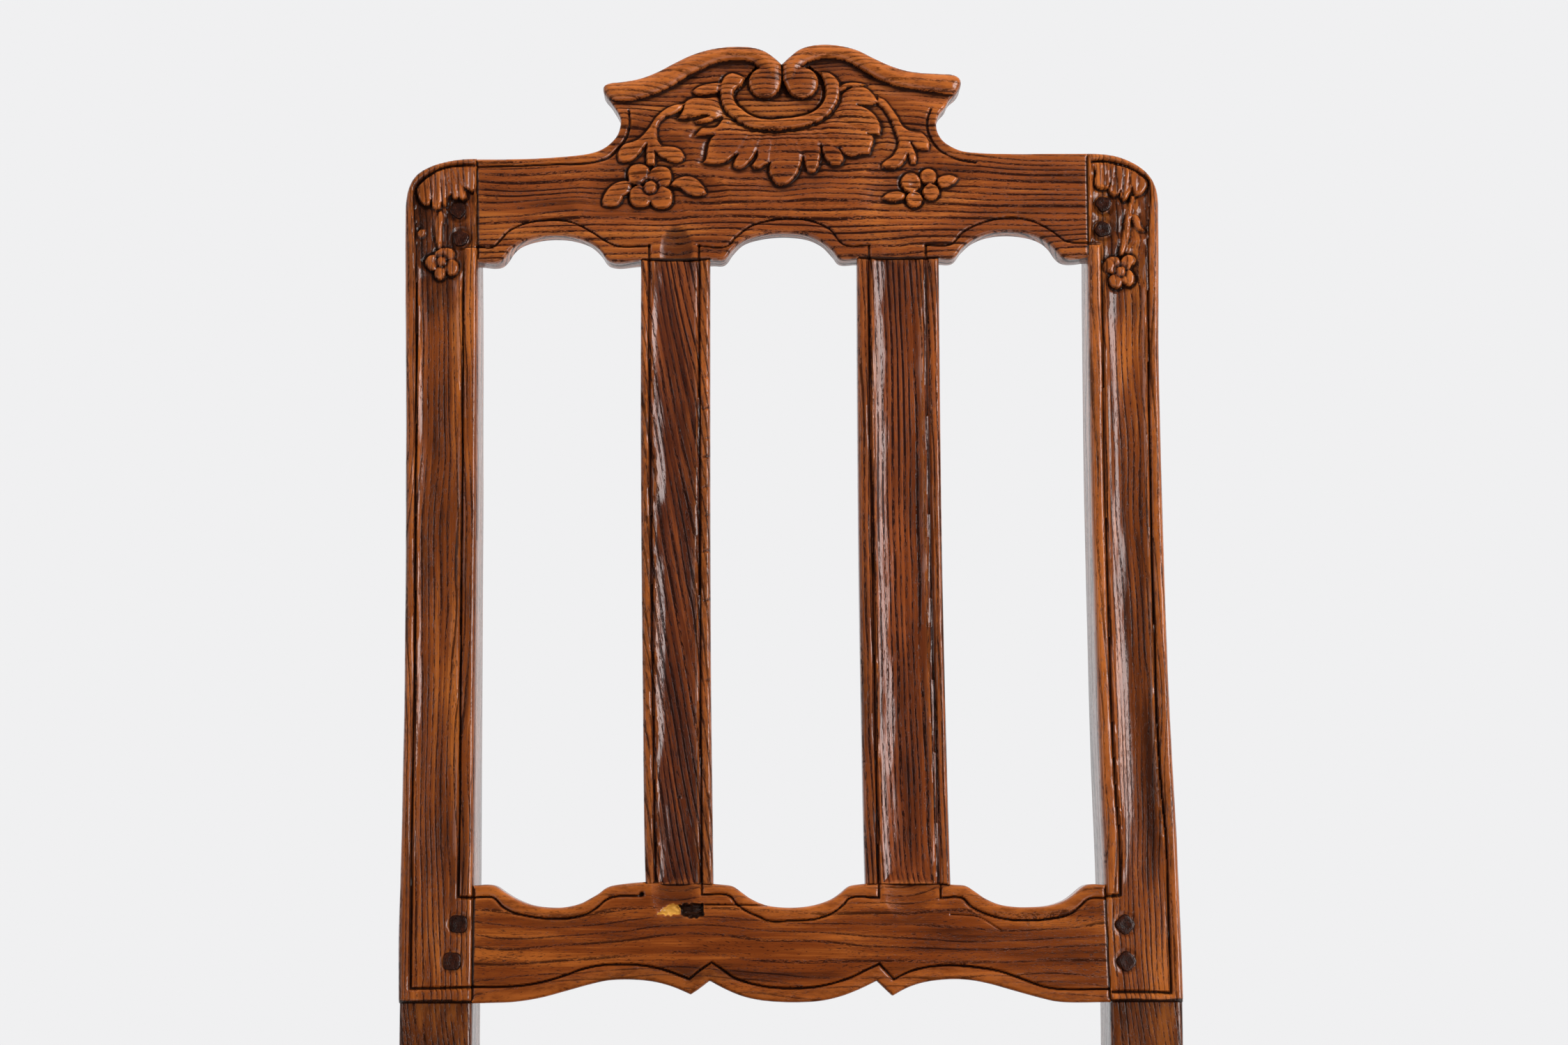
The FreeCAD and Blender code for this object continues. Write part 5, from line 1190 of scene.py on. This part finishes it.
def make_pegs(material):
    """The pegs of the crest and of the lower rail, each with a dark hollow round it."""
    rng = np.random.default_rng(7)
    count = len(PEG_ANGLES)
    for node, places in PEGS.items():
        points, faces, cavity = [], [], []
        for n, (u, w) in enumerate(places):
            start = len(points)
            turn = rng.uniform(0, 6)
            radius = round_peg(turn) if node == "crest_rail_pegs" else square_peg(PEG_TURNS[n])
            for share, depth in PEG_RINGS:
                for reach, angle in zip(radius * share, PEG_ANGLES):
                    tilt = 0.25 * math.cos(angle + turn) * share if depth < 2 else 0
                    points.append((u + reach * math.cos(angle), depth + tilt, w + reach * math.sin(angle)))
                    cavity.append(1.0 if share >= 0.99 or depth > 3 else 0.35 if share > 0.9 else 0.0)
            last = len(points) - count
            points.append((u, PEG_RINGS[-1][1], w))
            cavity.append(0.1)
            faces += [face[::-1] for face in ring_faces(start, len(PEG_RINGS), count)]
            faces += [[last + k, last + (k + 1) % count, len(points) - 1] for k in range(count)]
            faces.append([start + k for k in range(count)])
        points = np.array(points)
        form = {"points": leaned(points), "faces": faces, "cavity": np.array(cavity),
                "wood": np.stack([points[:, 1] * 3, points[:, 0] * 2, points[:, 2] * 2], axis=1)}
        show_form("shaved_" + node, form, material, node)


# The other pieces keep the shape of their solids, with worn arrises
ARRIS_ANGLE = math.radians(28)
ARRIS_RUN_ON = -0.9      # the cosine between an arris and the next one of the same run
GRAIN_ORDER = {"x": (0, 2, 1), "y": (1, 2, 0), "z": (2, 0, 1), "board": (0, 1, 2)}
PIECE_SHIFT, PEG_SHIFT = 137.0, 31.0      # each piece is cut from another place in the tree
WORN_PIECES = (                           # solid, wood, slot, grain and wear of the arrises
    ("left_front_leg", "post", "frame_wood", "z", 3.0),
    ("right_front_leg", "post", "frame_wood", "z", 3.0),
    ("front_seat_rail", "rail", "frame_wood", "x", 2.0),
    ("rear_seat_rail", "rail", "frame_wood", "x", 2.0),
    ("left_seat_rail", "rail", "frame_wood", "y", 2.0),
    ("right_seat_rail", "rail", "frame_wood", "y", 2.0),
    ("left_side_stretcher", "rail", "frame_wood", "y", 2.4),
    ("right_side_stretcher", "rail", "frame_wood", "y", 2.4),
    ("cross_stretcher", "rail", "frame_wood", "x", 2.4),
    ("front_seat_board", "seat", "seat_wood", "board", 0.9),
    ("rear_seat_board", "seat", "seat_wood", "board", 0.9),
)
WORN_PEGS = ("seat_board_pegs", "front_rail_pegs", "rear_rail_pegs", "side_rail_front_pegs",
             "side_rail_rear_pegs", "side_stretcher_pegs", "cross_stretcher_pegs")


def long_arrises(mesh, least):
    """The sharp edges in runs that are longer than a length in millimetres."""
    arrises = [edge for edge in mesh.edges
               if edge.is_manifold and edge.is_convex and edge.calc_face_angle(0) > ARRIS_ANGLE]
    sharp = set(arrises)
    picked, seen = [], set()
    for first in arrises:
        if first in seen:
            continue
        chain, queue = [], [first]
        seen.add(first)
        while queue:
            edge = queue.pop()
            chain.append(edge)
            for vert in edge.verts:
                own = (edge.other_vert(vert).co - vert.co).normalized()
                for other in vert.link_edges:
                    turn = own.dot((other.other_vert(vert).co - vert.co).normalized())
                    if other in sharp and other not in seen and turn < ARRIS_RUN_ON:
                        seen.add(other)
                        queue.append(other)
        if sum(e.calc_length() for e in chain) > least * MM:
            picked += chain
    return picked


def softened(node, material, slot, axis, worn, shift, least=45.0):
    """A piece with the shape of its solid, its long arrises worn round by a size in millimetres."""
    mesh = bmesh.new()
    mesh.from_mesh(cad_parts[node].data)
    mesh.transform(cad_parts[node].matrix_world)
    bmesh.ops.remove_doubles(mesh, verts=mesh.verts, dist=2e-6)
    bmesh.ops.dissolve_limit(mesh, angle_limit=math.radians(1.0), verts=mesh.verts, edges=mesh.edges)
    bmesh.ops.bevel(mesh, geom=long_arrises(mesh, least), offset=worn * MM, segments=3, profile=0.5,
                    affect="EDGES", clamp_overlap=True)
    data = bpy.data.meshes.new("worn_" + node)
    mesh.to_mesh(data)
    mesh.free()
    places = np.zeros(len(data.vertices) * 3, np.float32)
    data.vertices.foreach_get("co", places)
    wood = places.reshape(-1, 3)[:, GRAIN_ORDER[axis]] / MM + (shift, shift * 0.7, shift * 0.3)
    fields = {"wood": wood, "stain": LEG_STAIN if slot == "frame_wood" else 0.0}
    piece = shown("worn_" + node, data, fields, material, node, math.radians(40))
    piece.modifiers.new("even_shading", "WEIGHTED_NORMAL").keep_sharp = True


def make_rest(woods):
    """The front legs, the seat and the stretchers, and the pegs that hold them."""
    for k, (node, wood, slot, axis, worn) in enumerate(WORN_PIECES, start=1):
        softened(node, woods[wood], slot, axis, worn, PIECE_SHIFT * k)
    for k, node in enumerate(WORN_PEGS, start=1):
        softened(node, woods["peg"], "peg_wood", "z", 0.7, PEG_SHIFT * k, least=6.0)


# Wood
def srgb(red, green, blue):
    """A colour written as it appears, as the shader wants it."""
    shares = (c / 255 for c in (red, green, blue))
    return (*(((c + 0.055) / 1.055) ** 2.4 if c > 10 / 255 else c / 12.92 for c in shares), 1)


# the colour of rubbed edges, also used for the painted highlight on the crest's rolls
RUBBED_AND_HIGHLIGHT = srgb(184, 102, 42)
BARE = srgb(206, 150, 64)
PORE = srgb(33, 15, 10)
# the colour of dirt in the hollows, also used for painted shade there
DIRT_AND_SHADE = srgb(26, 13, 9)
# the colour of dark stains, also used for painted shade and painted shadow
DARK_STAIN_AND_SHADE = srgb(22, 11, 7)


class Graph:
    """Short names for building one material's nodes."""

    def __init__(self, name):
        self.material = bpy.data.materials.new(name)
        self.material.use_nodes = True
        self.nodes = self.material.node_tree.nodes
        self.links = self.material.node_tree.links
        self.shader = self.nodes["Principled BSDF"]

    def put(self, socket, value):
        """Link another node's output to a socket, or give the socket a value."""
        if isinstance(value, bpy.types.NodeSocket):
            self.links.new(value, socket)
        else:
            socket.default_value = value

    def set(self, node, **values):
        """Fill a node's sockets by their names, with underscores in place of spaces."""
        for name, value in values.items():
            self.put(node.inputs[name.replace("_", " ")], value)
        return node

    def node(self, kind, *inputs, **settings):
        """A new node with its settings and its first inputs."""
        node = self.nodes.new("ShaderNode" + kind)
        for key, value in settings.items():
            setattr(node, key, value)
        for socket, value in zip(node.inputs, inputs):
            self.put(socket, value)
        return node

    def math(self, operation, *inputs):
        return self.node("Math", *inputs, operation=operation).outputs[0]

    def times(self, first, second):
        return self.math("MULTIPLY", first, second)

    def add(self, first, *parts):
        """The first value with others added, each of which may be given with a factor."""
        for part in parts:
            first = self.math("ADD", first, self.times(*part) if isinstance(part, tuple) else part)
        return first

    def combine(self, *values):
        return self.node("CombineXYZ", *values).outputs[0]

    def noise(self, place, scales=None, detail=2.0, rough=0.5):
        """Noise at a place, or at the place drawn out by three scales."""
        if scales:
            place = self.node("VectorMath", place, scales, operation="MULTIPLY").outputs[0]
        node = self.node("TexNoise", noise_dimensions="3D")
        return self.set(node, Vector=place, Scale=1.0, Detail=detail, Roughness=rough).outputs[0]

    def ramp(self, value, low, high, start=0.0, end=1.0):
        """The value moved softly from between low and high to between start and end."""
        node = self.node("MapRange", value, low, high, start, end, interpolation_type="SMOOTHSTEP")
        return node.outputs[0]

    def mix(self, share, first, second):
        node = self.node("Mix", data_type="RGBA")
        for index, value in ((0, share), (6, first), (7, second)):
            self.put(node.inputs[index], value)
        return node.outputs[2]

    def stored(self, label, field="Fac"):
        """A field that is stored with the points of the mesh."""
        return self.node("Attribute", attribute_name=label).outputs[field]


def wood_material(name, light, middle, deep, spacing, wander=18.0, band=0.34, dashes=1.0, flecks=0.5,
                  pore_length=6.0, thin=1.5, slant=0.0, tilt=0.35, gloss=0.16, streaks=1.0, rings=0.07,
                  relief=0.05, broad=0.45, shine=0.5):
    """Ring-porous wood under old wax: streaks, rows of dark pores, and the stored dirt and wear, which also
    carry painted shade and a painted highlight.
    """
    g = Graph(name)
    place = g.stored("wood", "Vector")
    along, across, inward = g.node("SeparateXYZ", place).outputs
    if slant:
        across = g.add(across, (along, slant))

    # the growth rings: where among them a point is, with their slow wandering
    slow = g.noise(place, (0.0042, 0.011, 0.011))
    quick = g.noise(place, (0.016, 0.06, 0.06))
    ring = g.add(across, (inward, tilt), (slow, wander * 2), (quick, 2.6))
    ring = g.math("DIVIDE", ring, spacing)
    unequal = g.noise(g.combine(ring, 0.0, 0.0), (0.37, 1, 1), 1.0)
    ring = g.add(ring, (unequal, 1.7))
    phase = g.math("FRACT", ring)
    in_band = g.times(g.ramp(phase, 0.0, 0.06), g.ramp(phase, band + 0.10, band - 0.06))

    # pores: ragged dark dashes in rows that follow the grain, and small flecks between
    low = g.times(ring, spacing)
    lane = g.combine(g.math("DIVIDE", along, pore_length), g.times(low, thin), g.times(inward, 0.25))
    rare = g.noise(place, (0.02, 0.11, 0.11), 1.0)
    dash = g.add(g.noise(lane, None, 4.0, 0.72), (rare, 0.5))
    rows = g.times(g.times(in_band, g.ramp(dash, 0.80, 0.772)), dashes)
    lane = g.combine(g.math("DIVIDE", along, pore_length * 1.3), g.times(low, 2.3), g.times(inward, 0.6))
    small = g.ramp(g.add(g.noise(lane, None, 3.0, 0.6), (rare, -0.25)), 0.45, 0.52)
    pores = g.math("MAXIMUM", rows, g.times(small, flecks))

    # colour: fibres, streaks, broad bands and patches
    fibre = g.noise(place, (0.05, 1.9, 1.9), 2.0, 0.6)
    streak = g.noise(place, (0.013, 0.40, 0.40), 4.0, 0.62)
    bands = g.noise(place, (0.006, 0.11, 0.11))
    patches = g.noise(place, (0.009, 0.030, 0.030), 3.0, 0.6)
    mottle = g.noise(place, (0.12, 0.3, 0.3), 3.0, 0.6)
    tone = g.add(g.times(fibre, 0.30 * streaks), (streak, 0.62 * streaks), (patches, 0.45), (bands, broad))
    tone = g.add(tone, g.ramp(phase, 0.0, 1.0, 0.0, rings))
    tone = g.math("SUBTRACT", tone, 0.46 * streaks + 0.225 + 0.5 * (broad + rings))
    colour = g.mix(g.ramp(tone, -0.15, 0.02), deep, middle)
    colour = g.mix(g.ramp(tone, 0.0, 0.14), colour, light)

    # worn edges are lighter, and the crest's rolls carry a painted highlight; dirt and old wax stay in the
    # hollows and the pores, and the hollows also carry painted shade
    rub = g.times(g.stored("rub"), g.ramp(mottle, 0.30, 0.62, 0.35, 1.0))
    dirt_and_shade = g.ramp(g.add(g.stored("cavity"), (g.math("SUBTRACT", mottle, 0.5), 0.9)), 0.16, 0.85)
    # the stain field also carries painted shade on the crest's deep ground and a painted shadow at the foot
    # of each post's carved face
    stain = g.stored("stain")
    for share, paint in (
        (g.times(rub, 0.66), RUBBED_AND_HIGHLIGHT), (g.times(pores, g.math("SUBTRACT", 0.96, g.times(rub, 0.45))), PORE),
        (g.times(dirt_and_shade, 0.93), DIRT_AND_SHADE), (g.ramp(stain, 0.1, 0.7, 0.0, 0.9), BARE),
        (g.ramp(stain, -0.1, -0.9, 0.0, 0.93), DARK_STAIN_AND_SHADE),
    ):
        colour = g.mix(share, colour, paint)

    dull = g.math("MAXIMUM", g.times(pores, 0.85), g.times(dirt_and_shade, 0.8))
    height = g.add(g.times(pores, -relief), (fibre, 0.03), (streak, 0.12), (mottle, 0.1))
    bump = g.set(g.node("Bump"), Strength=0.85, Distance=0.001, Height=height)
    g.set(g.shader, Base_Color=colour, Roughness=g.add(g.times(mottle, 0.12), gloss - 0.06),
          Specular_IOR_Level=g.times(g.math("SUBTRACT", 1.0, dull), shine), Normal=bump.outputs[0])
    return g.material


WOODS = {   # the light, middle and deep colour, and how the grain differs from the usual
    "crest": ((164, 93, 40), (122, 60, 25), (76, 35, 14), dict(
        spacing=3.9, band=0.33, streaks=0.42, pore_length=2.6, thin=2.4, broad=0.2, flecks=0.8)),
    "rail": ((166, 90, 34), (116, 54, 17), (62, 25, 8), dict(
        spacing=7.0, wander=26.0, band=0.2, dashes=0.9, flecks=0.8, tilt=1.1, pore_length=2.8, thin=2.4,
        streaks=0.42, rings=0.0)),
    "post": ((162, 90, 36), (112, 54, 20), (58, 25, 9), dict(
        spacing=3.3, wander=15.0, slant=0.015, band=0.28, pore_length=3.2, dashes=0.9, flecks=0.7, thin=2.2,
        streaks=0.48, rings=0.06, relief=0.08)),
    "left_slat": ((120, 60, 28), (80, 36, 18), (46, 18, 10), dict(
        spacing=3.9, wander=10.0, pore_length=4.0, band=0.32, flecks=0.8, thin=1.8, streaks=0.6, rings=0.08,
        relief=0.22, broad=0.35)),
    "right_slat": ((134, 66, 28), (98, 45, 19), (56, 23, 10), dict(
        spacing=3.1, wander=7.0, pore_length=5.0, band=0.38, flecks=0.6, thin=1.7, streaks=0.5, rings=0.10,
        relief=0.2, broad=0.25)),
    "seat": ((160, 92, 44), (114, 57, 25), (70, 33, 14), dict(
        spacing=4.6, wander=60.0, tilt=2.6, gloss=0.18)),
    "peg": ((62, 29, 16), (40, 18, 11), (23, 11, 7), dict(spacing=2.2, wander=4.0, shine=0.25)),
}
woods = {name: wood_material("wood_" + name, *(srgb(*colour) for colour in colours), **grain)
         for name, (*colours, grain) in WOODS.items()}
make_crest(woods["crest"])
make_lower_rail(woods["rail"])
for side in ("left", "right"):
    make_post(side, woods["post"])
    make_slat(side, woods[f"{side}_slat"])
make_pegs(woods["peg"])
make_rest(woods)

# Floor, light and camera
FLOOR_RADIUS, FLOOR_CORNERS = 2.3, 120
FLOOR_COLOUR = srgb(235, 232, 228)
SKY_COLOUR = srgb(240, 240, 241)
ROOM_LEVEL = 0.06       # the room on the viewer's side is dim
BACKDROP_LEVEL = 0.9
LENS = 62.24
VIEW_DISTANCE = 1550.0
VIEW_ACROSS, VIEW_HEIGHT = -0.020, 0.8049
VIEW_TURN = math.radians(-0.591)


def make_floor():
    """A round pale floor."""
    mesh = bpy.data.meshes.new("floor")
    turns = [2 * math.pi * i / FLOOR_CORNERS for i in range(FLOOR_CORNERS)]
    rim = [(FLOOR_RADIUS * math.cos(turn), FLOOR_RADIUS * math.sin(turn), 0) for turn in turns]
    mesh.from_pydata(rim, [], [range(FLOOR_CORNERS)])
    floor = bpy.data.objects.new("floor", mesh)
    bpy.context.scene.collection.objects.link(floor)
    g = Graph("floor")
    g.set(g.shader, Base_Color=FLOOR_COLOUR, Roughness=0.9, Specular_IOR_Level=0.1)
    mesh.materials.append(g.material)


def make_world():
    """A pale backdrop behind the chair and a dim room before it, with a plain pale view for the camera."""
    world = bpy.data.worlds.new("studio")
    bpy.context.scene.world = world
    world.use_nodes = True
    nodes, links = world.node_tree.nodes, world.node_tree.links
    nodes.clear()
    output = nodes.new("ShaderNodeOutputWorld")

    def level(strength):
        plain = nodes.new("ShaderNodeBackground")
        plain.inputs[0].default_value = SKY_COLOUR
        plain.inputs[1].default_value = strength
        return plain.outputs[0]

    def blend(share, first, second):
        mix = nodes.new("ShaderNodeMixShader")
        for socket, value in zip(mix.inputs, (share, first, second)):
            links.new(value, socket)
        return mix.outputs[0]

    toward = nodes.new("ShaderNodeSeparateXYZ")
    links.new(nodes.new("ShaderNodeTexCoord").outputs["Generated"], toward.inputs[0])
    backdrop = nodes.new("ShaderNodeMapRange")
    backdrop.inputs[1].default_value, backdrop.inputs[2].default_value = -0.15, 0.2
    links.new(toward.outputs[1], backdrop.inputs[0])
    seen = blend(backdrop.outputs[0], level(ROOM_LEVEL), level(BACKDROP_LEVEL))
    mirrored = blend(backdrop.outputs[0], level(ROOM_LEVEL), level(1.0))
    rays = nodes.new("ShaderNodeLightPath").outputs
    for ray, view in (("Is Transmission Ray", mirrored), ("Is Glossy Ray", mirrored),
                      ("Is Camera Ray", level(1.0))):
        seen = blend(rays[ray], seen, view)
    links.new(seen, output.inputs[0])


def soft_light(name, place, target, size, power, mirrored=True):
    """A lamp like a lit panel, aimed at a target, that may be left out of the wood's shine."""
    lamp = bpy.data.lights.new(name, "AREA")
    lamp.shape = "RECTANGLE"
    lamp.size, lamp.size_y = size
    lamp.energy = power
    holder = bpy.data.objects.new(name, lamp)
    holder.location = place
    holder.rotation_euler = (Vector(target) - Vector(place)).to_track_quat("-Z", "Y").to_euler()
    holder.visible_glossy = mirrored
    bpy.context.scene.collection.objects.link(holder)


make_floor()
make_world()
soft_light("key", (1.75, -1.5, 1.15), (0, 0.15, 0.8), (1.15, 2.0), 56)
soft_light("fill", (-2.2, -1.0, 1.3), (0, 0.15, 0.8), (0.9, 1.8), 9)
soft_light("above", (0.0, -0.4, 2.5), (0, 0.2, 0.9), (2.0, 0.9), 36, False)

camera = bpy.data.cameras.new("camera")
camera.sensor_width = 36.0
camera.lens = LENS
viewer = bpy.data.objects.new("camera", camera)
viewer.location = (VIEW_ACROSS, (BACK_PLACE - VIEW_DISTANCE) * MM, VIEW_HEIGHT)
viewer.rotation_euler = Euler((math.radians(90), 0, VIEW_TURN))
bpy.context.scene.collection.objects.link(viewer)
bpy.context.scene.camera = viewer
bpy.context.scene.view_settings.view_transform = "Standard"
